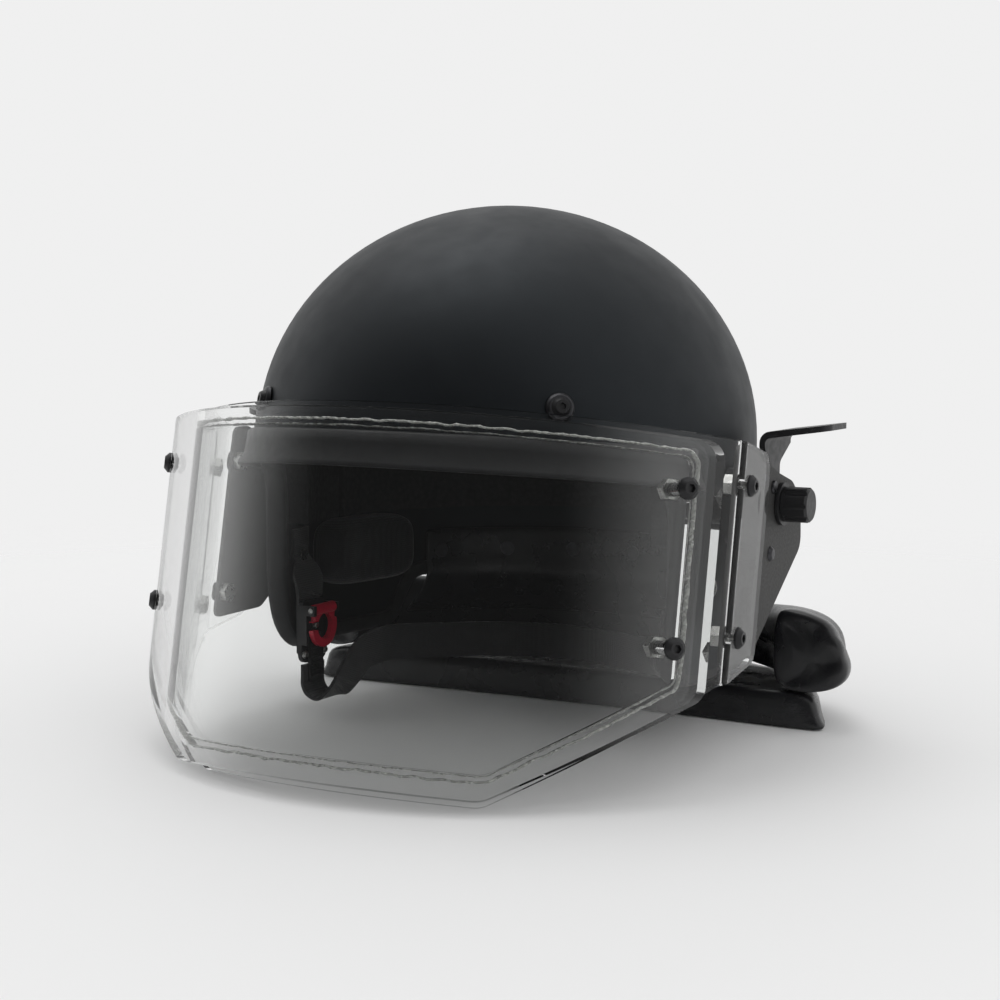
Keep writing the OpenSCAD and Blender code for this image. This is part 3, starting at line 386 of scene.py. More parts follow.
def clear(name, ior):
    """Polished clear plate that lets the lamps' light through, with faint polishing marks."""
    f = Finish(name, "clear", 0.0)
    f.mottled(20.0, 3.0, 0.995, 1.0)
    f.set("Transmission Weight", 1.0)
    f.set("IOR", ior)
    f.grain(26.0, 2.0, 0.03, 0.25)
    f.lets_light_through(f.shader, (0.99, 0.992, 0.991))
    return f


def layer_bond():
    """The faces of the middle layer, which lie against the bonding film and mirror nothing."""
    f = Finish("middle_layer_bond", "clear", 0.0)
    film = f.node("ShaderNodeBsdfRefraction", IOR=1.5, Roughness=0.0, Color=(*f.base, 1.0))
    f.lets_light_through(film)
    return f


def bead_sealant():
    f = layered(
        ("sealing_bead", "sealant", 0.22), (240.0, 5.0, 0.35, 1.45), (500.0, 3.0, 0.1, 0.4),
        (420.0, 4.0, 0.4, 0.8)
    )
    f.set("Transmission Weight", 0.35)
    return f


FINISHES = {
    "shell": shell_paint,
    "edge_rubber": lambda: rubber("edging_rubber", 0.62),
    "seal_rubber": lambda: rubber("seal_rubber", 0.48),
    "liner_foam": liner_foam,
    "pad_fabric": pad_knit,
    "guard_leather": guard_leather,
    "webbing": strap_webbing,
    "visor_sheet": lambda: clear("clear_sheet", 1.3),
    "visor_glass": lambda: clear("clear_front_plate", 1.52),
    "visor_layer": lambda: clear("clear_middle_layer", 1.5),
    "layer_bond": layer_bond,
    "sealant": bead_sealant,
    "arm_paint": lambda: layered(
        ("powder_coat", "arm", 0.6), (35.0, 5.0, 0.88, 1.15), (700.0, 3.0, 0.52, 0.68),
        (240.0, 2.0, 0.08, 0.3), (1300.0, 4.0, 0.1, 0.6)
    ),
    "black_steel": lambda: layered(
        ("blackened_steel", "black", 0.38, 0.35), (120.0, 5.0, 0.7, 1.9), (300.0, 4.0, 0.3, 0.46),
        (900.0, 4.0, 0.06, 0.4)
    ),
    "zinc_steel": lambda: layered(
        ("zinc_plate", "zinc", 0.3, 1.0), (220.0, 5.0, 0.75, 1.1), (500.0, 5.0, 0.2, 0.42),
        (1100.0, 3.0, 0.05, 0.4)
    ),
    "dark_zinc": lambda: layered(
        ("dark_zinc", "dark_zinc", 0.36, 1.0), (260.0, 5.0, 0.7, 1.3), (500.0, 5.0, 0.28, 0.46),
        (1100.0, 3.0, 0.05, 0.4)
    ),
    "black_plastic": lambda: layered(
        ("moulded_plastic", "plastic", 0.42), (90.0, 4.0, 0.8, 1.4), (420.0, 4.0, 0.34, 0.5),
        (1200.0, 3.0, 0.1, 0.5)
    ),
    "fibre_washer": lambda: layered(
        ("pressed_fibre", "fibre", 0.8), (600.0, 5.0, 0.6, 1.5), None, (900.0, 4.0, 0.1, 0.6)
    ),
    "red_plastic": lambda: layered(
        ("red_moulded_plastic", "red", 0.35), (150.0, 4.0, 0.85, 1.1), None, (800.0, 3.0, 0.06, 0.4)
    ),
}
made_finishes = {}


def finish_for(slot):
    if slot not in made_finishes:
        made_finishes[slot] = FINISHES[slot]().material
    return made_finishes[slot]


# Mesh helpers


def soften(bm, sharp):
    """Smooth shading with sharp edges only where faces meet at more than sharp."""
    for face in bm.faces:
        face.smooth = True
    for edge in bm.edges:
        edge.smooth = not (len(edge.link_faces) == 2 and edge.calc_face_angle(0.0) > sharp)


def placed(bm, name):
    """A new object in the scene that takes the bmesh over."""
    mesh = bpy.data.meshes.new(name)
    bm.to_mesh(mesh)
    bm.free()
    obj = bpy.data.objects.new(name, mesh)
    bpy.context.scene.collection.objects.link(obj)
    return obj


def made_piece(bm, name, body, slot, *nodes, sharp=math.radians(38), even=False):
    """An object from a bmesh that rides on a body and stands for the CAD nodes named.

    An even piece takes its shading from its broad faces, so that eased edges leave them flat.
    """
    soften(bm, sharp)
    obj = placed(bm, name)
    obj.data.materials.append(finish_for(slot))
    if even:
        obj.modifiers.new("even_normals", "WEIGHTED_NORMAL").keep_sharp = True
    if body:
        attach(obj, body)
    if nodes:
        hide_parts(*nodes)
    return obj


def merged_copy(node):
    """A CAD node's mesh with its triangles joined into whole faces."""
    bm = bmesh.new()
    bm.from_mesh(frame["nodes"][node].data)
    bmesh.ops.remove_doubles(bm, verts=bm.verts, dist=2e-6)
    bmesh.ops.dissolve_limit(bm, angle_limit=math.radians(0.6), verts=bm.verts, edges=bm.edges)
    return bm


def ease_edges(bm, width, segments=2, above=math.radians(32)):
    edges = [e for e in bm.edges if len(e.link_faces) == 2 and e.calc_face_angle(0.0) > above]
    bmesh.ops.bevel(
        bm, geom=edges, offset=width, offset_type="OFFSET", segments=segments, profile=0.5,
        affect="EDGES", clamp_overlap=True, material=-1, loop_slide=True,
    )


def slot_of(node):
    return next(p["material_slot"] for p in frame["record"]["subparts"] if p["node"] == node)


def dressed(node, width, segments=2, finish=None):
    """The node's own shape with eased edges and its slot's finish, or another of the same metal."""
    bm = merged_copy(node)
    ease_edges(bm, width, segments)
    piece = made_piece(bm, node + "_finished", BODY_OF[node], slot_of(node), node, even=True)
    if finish:
        piece.data.materials[0] = finish_for(finish)


def shaped(bm, modifiers):
    """A bmesh run through modifiers, as a new bmesh. Each is a type and its values."""
    obj = placed(bm, "raw_shape")
    for kind, values in modifiers:
        modifier = obj.modifiers.new(kind.lower(), kind)
        for key, value in values.items():
            setattr(modifier, key, value)
    out = bmesh.new()
    out.from_object(obj, bpy.context.evaluated_depsgraph_get())
    bpy.data.objects.remove(obj)
    return out


def subdivided(levels):
    return "SUBSURF", {"levels": levels, "render_levels": levels}


def cut(bm, steps):
    """The bmesh after Boolean steps, each an operation and the bmesh of its tool."""
    tools = [(operation, placed(tool, "tool")) for operation, tool in steps]
    out = shaped(bm, [
        ("BOOLEAN", {"operation": operation, "object": tool, "solver": "EXACT"}) for operation, tool in tools
    ])
    for _, tool in tools:
        bpy.data.objects.remove(tool)
    return out


def raised(bm, faces, way):
    """Makes the faces into a solid that reaches along way."""
    made = bmesh.ops.extrude_face_region(bm, geom=faces)["geom"]
    bmesh.ops.translate(bm, vec=way, verts=[v for v in made if isinstance(v, bmesh.types.BMVert)])
    bmesh.ops.recalc_face_normals(bm, faces=bm.faces)


def ring_of(bm, points):
    """A closed loop of edges through the points."""
    verts = [bm.verts.new(p) for p in points]
    return [bm.edges.new((a, b)) for a, b in zip(verts, verts[1:] + verts[:1])]


def lofted(rings, cyclic=False, capped=True):
    """A skin over a row of loops, closed into a ring or capped at both ends."""
    bm = bmesh.new()
    loops = [ring_of(bm, ring) for ring in rings]
    for a, b in zip(loops, loops[1:] + (loops[:1] if cyclic else [])):
        bmesh.ops.bridge_loops(bm, edges=a + b)
    if capped and not cyclic:
        for loop in (loops[0], loops[-1]):
            bmesh.ops.edgeloop_fill(bm, edges=loop)
    bmesh.ops.recalc_face_normals(bm, faces=bm.faces)
    return bm


def rounded(corners, radii, steps=8):
    """Corner points with arcs in their place."""
    points = []
    for k, (corner, radius) in enumerate(zip(corners, radii)):
        b = Vector(corner)
        a, c = Vector(corners[k - 1]), Vector(corners[(k + 1) % len(corners)])
        if not radius:
            points.append(b)
            continue
        u, v = (a - b).normalized(), (c - b).normalized()
        half = u.angle(v) / 2
        middle = b + (u + v).normalized() * radius / math.sin(half)
        p, q = b + u * radius / math.tan(half) - middle, b + v * radius / math.tan(half) - middle
        sweep = math.pi - 2 * half
        for i in range(steps + 1):
            share = i / steps
            points.append(
                middle + (p * math.sin(sweep * (1 - share)) + q * math.sin(sweep * share)) / math.sin(sweep)
            )
    return points


# The shell: its surfaces, its outline in side view and its edge


def wall_radius(sizes, z, out):
    """The body's radius across at height z, grown by out."""
    if z >= sizes.widest:
        share = min(1.0, (z - sizes.widest) / (sizes.rise + out))
        return (sizes.half_width + out) * math.sqrt(1 - share * share)
    if z >= sizes.waist:
        return sizes.half_width + out
    return sizes.half_width - sizes.tuck + math.sqrt((sizes.tuck + out) ** 2 - (sizes.waist - z) ** 2)


def on_shell(sizes, around, z, out):
    """A point of the shell's surface, around from the front towards the wearer's left."""
    r = wall_radius(sizes, z, out)
    stretch = sizes.half_length / sizes.half_width
    return Vector((r * math.sin(around), -r * stretch * math.cos(around) + MIDDLE, z))


def shell_out(sizes, point):
    """The direction out of the shell at a point of it."""
    x, y, z = point.x, point.y - MIDDLE, max(0.0, point.z - sizes.widest)
    return Vector((x / sizes.half_width**2, y / sizes.half_length**2, z / sizes.rise**2)).normalized()


def shell_body(sizes, out, steps=144):
    """The closed round body, grown by out: a profile spun about the upright axis."""
    low, walls, dome = 20 * MM, 8, 28
    heights = [low + (sizes.waist - low) * k / walls for k in range(walls + 1)] + [sizes.widest]
    profile = [Vector((wall_radius(sizes, z, out), 0, z)) for z in heights]
    for k in range(1, dome):
        up = math.pi / 2 * k / dome
        profile.append(Vector((
            (sizes.half_width + out) * math.cos(up), 0, sizes.widest + (sizes.rise + out) * math.sin(up)
        )))
    top = Vector((0, 0, sizes.widest + sizes.rise + out))
    bm = bmesh.new()
    verts = [bm.verts.new(p) for p in [Vector((0, 0, low)), *profile, top]]
    edges = [bm.edges.new(pair) for pair in zip(verts, verts[1:])]
    bmesh.ops.spin(
        bm, geom=verts + edges, axis=(0, 0, 1), cent=(0, 0, 0), steps=steps, angle=2 * math.pi, use_merge=True
    )
    bmesh.ops.remove_doubles(bm, verts=bm.verts, dist=1e-6)
    bmesh.ops.scale(bm, vec=(1, sizes.half_length / sizes.half_width, 1), verts=bm.verts)
    bmesh.ops.translate(bm, vec=(0, MIDDLE, 0), verts=bm.verts)
    bmesh.ops.recalc_face_normals(bm, faces=bm.faces)
    return bm


def side_outline(sizes, grown=0.0):
    """The shell's lower edge in side view, from the front of the brow to the back of the rim."""
    front, back = -sizes.cheek_front - grown, sizes.cheek_back + grown
    brow, cheek, rim = sizes.brow - grown, sizes.cheek_low - grown, sizes.rim - grown
    rise = (FAR - sizes.cheek_front) * math.tan(sizes.brow_slope)
    corners = [
        (-FAR, brow + rise), (front, brow), (front, cheek), (back, cheek), (back + 22 * MM, rim), (FAR, rim)
    ]
    return rounded(corners, [0, 22 * MM, 20 * MM, 20 * MM, 12 * MM, 0])


def side_prism(sizes, grown=0.0):
    """The part of space that the shell keeps, seen from the side."""
    outline = side_outline(sizes, grown) + [Vector((FAR, FAR)), Vector((-FAR, FAR))]
    bm = bmesh.new()
    face = bm.faces.new([bm.verts.new((-FAR, p.x + MIDDLE, p.y)) for p in outline])
    raised(bm, [face], (2 * FAR, 0, 0))
    return bm


def box_solid(low, high):
    bm = bmesh.new()
    bmesh.ops.create_cube(bm, size=1.0)
    size = Vector(high) - Vector(low)
    bmesh.ops.scale(bm, vec=size, verts=bm.verts)
    bmesh.ops.translate(bm, vec=(Vector(low) + Vector(high)) / 2, verts=bm.verts)
    return bm


def edge_path(sizes, spacing=4 * MM):
    """Points along the middle of the shell's edge, once round, from the front middle to the left."""
    half = []
    outline = side_outline(sizes)
    for a, b in zip(outline, outline[1:]):
        count = max(1, int((b - a).length / spacing))
        half += [a.lerp(b, k / count) for k in range(count)]
    half.append(outline[-1])
    points = []
    for y, z in half:
        r = wall_radius(sizes, z, -sizes.wall / 2)
        reach = r * sizes.half_length / sizes.half_width
        if abs(y) < reach:
            points.append(Vector((r * math.sqrt(1 - (y / reach) ** 2), y + MIDDLE, z)))
    # The line crosses the middle plane steeply, so its two ends there are set exactly
    tip = []
    for end, sign in ((points[0], -1), (points[-1], 1)):
        r = wall_radius(sizes, end.z, -sizes.wall / 2)
        tip.append(Vector((0, sign * r * sizes.half_length / sizes.half_width + MIDDLE, end.z)))
    left = evenly([tip[0], *points, tip[1]], spacing)
    return left + [Vector((-p.x, p.y, p.z)) for p in reversed(left[1:-1])]


def evenly(points, spacing):
    """The same line with its points evenly spaced."""
    steps = [0.0]
    for a, b in zip(points, points[1:]):
        steps.append(steps[-1] + (b - a).length)
    count = max(2, round(steps[-1] / spacing))
    at = np.linspace(0, steps[-1], count + 1)
    columns = [np.interp(at, steps, [p[k] for p in points]) for k in range(3)]
    return [Vector(p) for p in zip(*columns)]


class HELMET_OT_shell(bpy.types.Operator):
    """Builds the ballistic shell as a smooth wall cut to its side outline"""

    bl_idname = "helmet.shell"
    bl_label = "Shell"

    def execute(self, context):
        sizes = settings("helmet_shell")
        wall = cut(shell_body(sizes, 0.0), [
            ("INTERSECT", side_prism(sizes)), ("DIFFERENCE", shell_body(sizes, -sizes.wall)),
        ])
        made_piece(wall, "ballistic_shell", "helmet", "shell", "shell", sharp=math.radians(50))
        return {"FINISHED"}


class HELMET_OT_edging(bpy.types.Operator):
    """Runs the rubber edging round the shell's edge"""

    bl_idname = "helmet.edging"
    bl_label = "Edging"

    def execute(self, context):
        sizes = settings("helmet_shell")
        path = edge_path(sizes)
        half = sizes.wall / 2 + GAP + sizes.trim
        lip, inner = sizes.trim + GAP, sizes.trim_depth
        corners = [(-half, inner), (-half, -lip), (half, -lip), (half, inner)]
        section = rounded(corners, [1 * MM, 3.4 * MM, 3.4 * MM, 1 * MM], 5)
        rings = []
        for k, point in enumerate(path):
            along = (path[(k + 1) % len(path)] - path[k - 1]).normalized()
            out = shell_out(sizes, point)
            out = (out - along * out.dot(along)).normalized()
            into = along.cross(out).normalized()
            # Into the shell is up, or towards its middle where the edge runs upright
            upright = abs(into.z) <= 0.3
            if (upright and into.y * (point.y - MIDDLE) > 0) or (not upright and into.z < 0):
                into = -into
            rings.append([point + out * p.x + into * p.y for p in section])
        made_piece(lofted(rings, cyclic=True), "edging", "helmet", "edge_rubber", "edge_trim")
        return {"FINISHED"}


class HELMET_OT_brow_seal(bpy.types.Operator):
    """Moulds the brow seal that closes the gap to the visor"""

    bl_idname = "helmet.brow_seal"
    bl_label = "Brow seal"

    def execute(self, context):
        sizes = settings("helmet_shell")
        over, lip, count = sizes.trim + 2 * GAP, 0.9 * MM, 48
        rings = []
        for k in range(-count, count + 1):
            around = sizes.seal_reach * k / count
            low = sizes.seal_low - 0.019 * (1 - math.cos(around))
            top = low + sizes.seal_height + 0.005 * (1 - math.cos(around))
            section = [
                (over, low + 6 * MM), (over, low + 11.8 * MM), (GAP, low + 12.8 * MM), (GAP, top),
                (1.6 * MM, top + 0.1 * MM), (3 * MM, top - 0.8 * MM), (4.0 * MM, low + 11 * MM),
                (5.4 * MM, low + 5 * MM), (7.6 * MM, low + 2.4 * MM), (8.2 * MM, low + lip),
                (8.2 * MM, low), (7.2 * MM, low - 0.3 * MM), (5.6 * MM, low + 1.2 * MM),
                (4 * MM, low + 5 * MM)
            ]
            rings.append([on_shell(sizes, around, z, out) for out, z in section])
        made_piece(
            lofted(rings), "brow_seal_moulding", "helmet", "seal_rubber", "brow_seal", sharp=math.radians(60)
        )
        return {"FINISHED"}


class HELMET_OT_liner(bpy.types.Operator):
    """Builds the foam impact liner"""

    bl_idname = "helmet.liner"
    bl_label = "Impact liner"

    def execute(self, context):
        sizes, guard = settings("helmet_shell"), settings("helmet_guard")
        out, steps = sizes.wall + GAP, 120
        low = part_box("impact_liner")[0].z
        notch = box_solid((-FAR, MIDDLE - 3 * MM, low - MM), (FAR, MIDDLE + 3 * MM, low + 29 * MM))
        foam = cut(shell_body(sizes, -out, steps), [
            ("DIFFERENCE", shell_body(sizes, -out - guard.liner, steps)),
            ("INTERSECT", side_prism(sizes, -9 * MM)),
            ("INTERSECT", box_solid((-FAR, -FAR, low), (FAR, FAR, 2 * FAR))),
            ("DIFFERENCE", notch),
        ])
        bmesh.ops.remove_doubles(foam, verts=foam.verts, dist=1e-5)
        made_piece(foam, "impact_liner_foam", "helmet", "liner_foam", "impact_liner")
        return {"FINISHED"}


# The visor: plates cut flat along their arc, then bent to the plan and tilted back


def arc_turn(v):
    """How far the wide arc turns on each side before the tight bend."""
    return math.asin((v.width / 2 - v.bend) / (v.radius - v.bend))


def arc_reach(v):
    return v.radius * arc_turn(v)


def wing_start(v):
    return arc_reach(v) + v.bend * (math.pi / 2 - arc_turn(v))


def turn_at(v, s):
    """The way the sheet faces in plan at distance s along it."""
    q = abs(s)
    a = q / v.radius if q <= arc_reach(v) else min(math.pi / 2, arc_turn(v) + (q - arc_reach(v)) / v.bend)
    return math.copysign(a, s)


def tilted(v, x, y, t):
    cos, sin = math.cos(v.tilt), math.sin(v.tilt)
    return Vector((x, y * cos + t * sin + MIDDLE, t * cos - y * sin))


def bent(v, s, t, out):
    """The place of a flat point s along and t up the sheet, out from its inner face."""
    q, a, side = abs(s), abs(turn_at(v, s)), math.copysign(1, s)
    centre = v.radius - v.face
    if q <= arc_reach(v):
        return tilted(v, side * (v.radius + out) * math.sin(a), centre - (v.radius + out) * math.cos(a), t)
    x = v.width / 2 - v.bend + (v.bend + out) * math.sin(a)
    y = centre - (v.radius - v.bend) * math.cos(arc_turn(v)) - (v.bend + out) * math.cos(a)
    return tilted(v, side * x, y + max(0.0, q - wing_start(v)), t)


def facing(v, s):
    """The direction out of the sheet at s."""
    a = turn_at(v, s)
    return (tilted(v, math.sin(a), -math.cos(a), 0) - tilted(v, 0, 0, 0)).normalized()


def rest_edge(v):
    """Height along the sheet of the straight lower edge, which stands on the table."""
    return (v.radius - v.face - v.radius * math.cos(v.flat / v.radius)) * math.tan(v.tilt)


def lower_edge(v, s):
    """The sheet's lower edge between its straight middle and the wings."""
    knee = wing_start(v) - 8 * MM
    start, low = v.flat + 1.6 * MM, rest_edge(v)
    rise = (v.top - 4 * MM - v.wing_height - 11 * MM - low) / (knee - start)
    return low + rise * max(0.0, abs(s) - start)


def upper_edge(v, s):
    return v.top - 2 * MM * abs(s) / wing_start(v)


def mirrored_outline(right):
    """A closed outline from its right half, which runs from the bottom to the top."""
    return [Vector(p) for p in right] + [Vector((-p[0], p[1])) for p in reversed(right)]


def sheet_outline(v):
    """The base sheet's flat outline."""
    end = wing_start(v) + v.wing
    wing_low = v.top - 4 * MM - v.wing_height
    knee = wing_start(v) - 8 * MM
    corners = mirrored_outline([
        (v.flat + 1.6 * MM, rest_edge(v)), (knee, wing_low - 11 * MM), (end, wing_low + 3.2 * MM),
        (end, v.top - 3.6 * MM), (wing_start(v), v.top - 2 * MM),
    ])
    radii = [14 * MM, 12 * MM, 8 * MM, 10 * MM, 30 * MM]
    return rounded(corners, radii + radii[::-1])


def inset_outline(v, reach, top, low, radius):
    """The flat outline of a plate that lies inside the base sheet's."""
    slanted = 1.14 * low
    corners = mirrored_outline([
        (v.flat + 1.6 * MM, rest_edge(v) + low), (reach, lower_edge(v, reach) + slanted),
        (reach, upper_edge(v, reach) - top)
    ])
    radii = [14 * MM, radius, radius]
    return rounded(corners, radii + radii[::-1])


def bolt_spots(v):
    """Where the front bolts stand: along the arc and up the sheet."""
    upper = v.top - v.bolt_drop
    return [(g * v.bolt_reach, t) for g in (-1, 1) for t in (upper, upper - v.bolt_pitch)]


def side_spots(v):
    upper = v.top - v.bolt_drop + 8 * MM
    reach = wing_start(v) + v.wing - v.side_in
    return [(g * reach, t) for g in (-1, 1) for t in (upper, upper - v.bolt_pitch)]


def bend_columns(v, reach):
    """Where the flat plate is cut so that it can bend: finely in the tight bends."""
    wide = np.arange(0.0, min(reach, arc_reach(v)), 2.6 * MM)
    tight = np.linspace(arc_reach(v), wing_start(v), 9)
    right = [*wide, *(s for s in tight if s < reach)]
    return sorted({round(float(g * s), 6) for s in right for g in (-1, 1)})


def plate(v, outline, start, thickness, holes, rim, bonds=()):
    """A clear plate with polished rims and bolt holes, bent to the visor's plan.

    Faces at a depth in bonds get the plate's second material.
    """
    bm = bmesh.new()
    edges = ring_of(bm, [(p.x, p.y, 0) for p in outline])
    for s, t in holes:
        circle = bmesh.ops.create_circle(
            bm, segments=28, radius=v.hole / 2, matrix=Matrix.Translation((s, t, 0))
        )["verts"]
        edges += {e for vert in circle for e in vert.link_edges}
    bmesh.ops.triangle_fill(bm, edges=edges, use_beauty=True)
    raised(bm, bm.faces[:], (0, 0, thickness))
    ease_edges(bm, rim, 3, math.radians(60))
    for s in bend_columns(v, max(p.x for p in outline)):
        whole = bm.verts[:] + bm.edges[:] + bm.faces[:]
        bmesh.ops.bisect_plane(bm, geom=whole, dist=1e-7, plane_co=(s, 0, 0), plane_no=(1, 0, 0))
    for face in bm.faces:
        face.material_index = int(any(all(abs(x.co.z - z) < 1e-7 for x in face.verts) for z in bonds))
    for vert in bm.verts:
        vert.co = bent(v, vert.co.x, vert.co.y, start + vert.co.z)
    bmesh.ops.recalc_face_normals(bm, faces=bm.faces)
    return bm


def middle_start(v):
    """How far out of the base sheet's inner face the middle layer starts."""
    return v.sheet + v.bond


def front_start(v):
    return middle_start(v) + v.middle + v.bond


# How far the bead lies inside the base sheet's upper and lower edges, and its corners' radius
BEAD_TOP, BEAD_LOW, BEAD_RADIUS = 9.4 * MM, 11 * MM, 7 * MM


def bead_outline(v, inset, radius):
    """The flat outline that lies by inset inside the bead's outer edge."""
    return inset_outline(v, v.middle_reach - inset, BEAD_TOP + inset, BEAD_LOW + inset, radius)


def polished(bm, name, slot, node):
    return made_piece(bm, name, "visor", slot, node, sharp=math.radians(44), even=True)


class HELMET_OT_visor_layers(bpy.types.Operator):
    """Cuts, bends and polishes the visor's three clear layers"""

    bl_idname = "helmet.visor_layers"
    bl_label = "Visor layers"

    def execute(self, context):
        v = settings("helmet_visor")
        holes = bolt_spots(v)
        sheet = plate(v, sheet_outline(v), 0, v.sheet, holes + side_spots(v), 0.9 * MM)
        polished(sheet, "visor_base_sheet", "visor_sheet", "base_sheet")
        outline = bead_outline(v, v.bead + GAP, 5 * MM)
        layer = plate(v, outline, middle_start(v), v.middle, holes, 0.3 * MM, (0, v.middle))
        piece = polished(layer, "visor_middle_layer", "visor_layer", "middle_plate")
        piece.data.materials.append(finish_for("layer_bond"))
        outline = inset_outline(v, v.front_reach, 5 * MM, 4 * MM, 9 * MM)
        front = plate(v, outline, front_start(v), v.front, holes, 1.1 * MM)
        polished(front, "visor_front_plate", "visor_glass", "front_plate")
        return {"FINISHED"}


def lumpy_line(v, outline, across, seed):
    """Rings of an uneven squeezed edge along a flat outline, as thick as the middle layer."""
    spacing, sides = 1.3 * MM, 8
    closed = evenly([Vector((p.x, p.y, 0)) for p in outline + outline[:1]], spacing)[:-1]
    rings = []
    for k, point in enumerate(closed):
        along = (closed[(k + 1) % len(closed)] - closed[k - 1]).normalized()
        side = Vector((along.y, -along.x, 0))
        wander = noise.noise(Vector((point.x * 160, point.y * 160, seed)))
        swell = noise.noise(Vector((point.x * 420, point.y * 420, seed + 9)))
        middle = point + side * across * (0.9 * wander + 0.4 * swell)
        half = across * (0.75 + 0.45 * swell)
        ring = []
        for i in range(sides):
            a = 2 * math.pi * i / sides
            flat = middle + side * half * math.cos(a)
            depth = middle_start(v) + v.middle * (0.5 + 0.49 * math.sin(a))
            ring.append(bent(v, flat.x, flat.y, depth))
        rings.append(ring)
    return rings


class HELMET_OT_seal_bead(bpy.types.Operator):
    """Lays the bead of sealant between the plates, with its uneven squeezed edges"""

    bl_idname = "helmet.seal_bead"
    bl_label = "Sealing bead"

    def execute(self, context):
        v = settings("helmet_visor")
        inset = v.bead - 0.5 * MM
        outer = bead_outline(v, 0.6 * MM, BEAD_RADIUS)
        inner = bead_outline(v, inset, BEAD_RADIUS - inset / 2)
        rough = lofted(lumpy_line(v, outer, 0.75 * MM, 1.0), cyclic=True)
        made_piece(rough, "sealing_bead_outer_edge", "visor", "sealant", "seal_bead")
        smooth = lofted(lumpy_line(v, inner, 0.4 * MM, 5.0), cyclic=True)
        made_piece(smooth, "sealing_bead_inner_edge", "visor", "sealant")
        return {"FINISHED"}


def bolts_with_bright_shanks(node, spots, stack):
    """Black button heads on plated shanks that show through the clear plates."""
    v = settings("helmet_visor")
    bm = merged_copy(node)
    ease_edges(bm, 0.35 * MM)
    feet = [(bent(v, s, t, 0), facing(v, s)) for s, t in spots]
    for face in bm.faces:
        middle = face.calc_center_median()
        foot, out = min(feet, key=lambda f: (f[0] - middle).length)
        face.material_index = 1 if (middle - foot).dot(out) < stack else 0
    piece = made_piece(bm, node + "_finished", BODY_OF[node], slot_of(node), node, even=True)
    piece.data.materials.append(finish_for("zinc_steel"))


class HELMET_OT_visor_bolts(bpy.types.Operator):
    """Finishes the bolts and nuts that hold the visor together and to its arms"""

    bl_idname = "helmet.visor_bolts"
    bl_label = "Visor bolts"

    def execute(self, context):
        v = settings("helmet_visor")
        bolts_with_bright_shanks("front_bolts", bolt_spots(v), front_start(v) + v.front)
        bolts_with_bright_shanks("side_bolts", side_spots(v), v.sheet)
        for node in ("front_nuts", "side_nuts"):
            dressed(node, 0.35 * MM)
        return {"FINISHED"}


class HELMET_OT_arms(bpy.types.Operator):
    """Finishes the visor's arms with their rivets, pins and springs"""

    bl_idname = "helmet.arms"
    bl_label = "Arms"

    def execute(self, context):
        for node in ("arm_left", "arm_right"):
            dressed(node, 0.5 * MM)
        for node in ("arm_rivets", "lever_pins", "lever_springs"):
            dressed(node, 0.2 * MM, finish="dark_zinc")
        for node in ("release_lever_left", "release_lever_right"):
            dressed(node, 0.55 * MM, 3)
        return {"FINISHED"}


class HELMET_OT_pivots(bpy.types.Operator):
    """Finishes the pivots with their bases, studs, rings, washers and clamp knobs"""

    bl_idname = "helmet.pivots"
    bl_label = "Pivots"

    def execute(self, context):
        for node in ("pivot_base_left", "pivot_base_right"):
            dressed(node, 1.0 * MM, 3)
        for node in ("pivot_base_screws", "pivot_studs", "detent_rings", "friction_washers", "knob_washers"):
            dressed(node, 0.3 * MM)
        for node in ("knob_left", "knob_right"):
            dressed(node, 0.7 * MM, 3)
        return {"FINISHED"}


class HELMET_OT_shell_fasteners(bpy.types.Operator):
    """Finishes the bolts, cup washers, nuts and rivets in the shell"""

    bl_idname = "helmet.shell_fasteners"
    bl_label = "Shell fasteners"

    def execute(self, context):
        for node in ("shell_bolts", "shell_nuts", "strap_rivets"):
            dressed(node, 0.3 * MM)
        dressed("neck_guard_rivets", 0.3 * MM, finish="dark_zinc")
        dressed("cup_washers", 0.35 * MM, 3, finish="dark_zinc")
        return {"FINISHED"}


class HELMET_OT_straps(bpy.types.Operator):
    """Finishes the chin strap, its side straps and the ratchet buckle"""

    bl_idname = "helmet.straps"
    bl_label = "Straps and buckle"

    def execute(self, context):
        for node in ("strap_left", "strap_right"):
            dressed(node, 0.7 * MM, 3)
        strap = merged_copy("chin_strap")
        ease_edges(strap, 0.7 * MM, 3)
        piece = made_piece(strap, "chin_strap_finished", None, slot_of("chin_strap"), "chin_strap", even=True)
        # The strap follows the tongue down to its loop, and lies still on the cushion after it
        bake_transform(piece)
        for node in ("buckle_body", "buckle_lever", "ratchet_tongue"):
            dressed(node, 0.35 * MM)
        for node in ("buckle_pin", "buckle_rivets"):
            dressed(node, 0.25 * MM)
        return {"FINISHED"}


# The neck guard and the pads


def nape_line(g, a):
    """The roll's outer line at angle a round the nape: its place, the direction out and its depth."""
    back = g.back - g.start
    place = Vector((g.half_width * math.cos(a), g.start + back * math.sin(a)))
    out = Vector((math.cos(a) / g.half_width, math.sin(a) / back)).normalized()
    return place, out, g.depth - (g.depth - g.nape_depth) * math.sin(a) ** 2


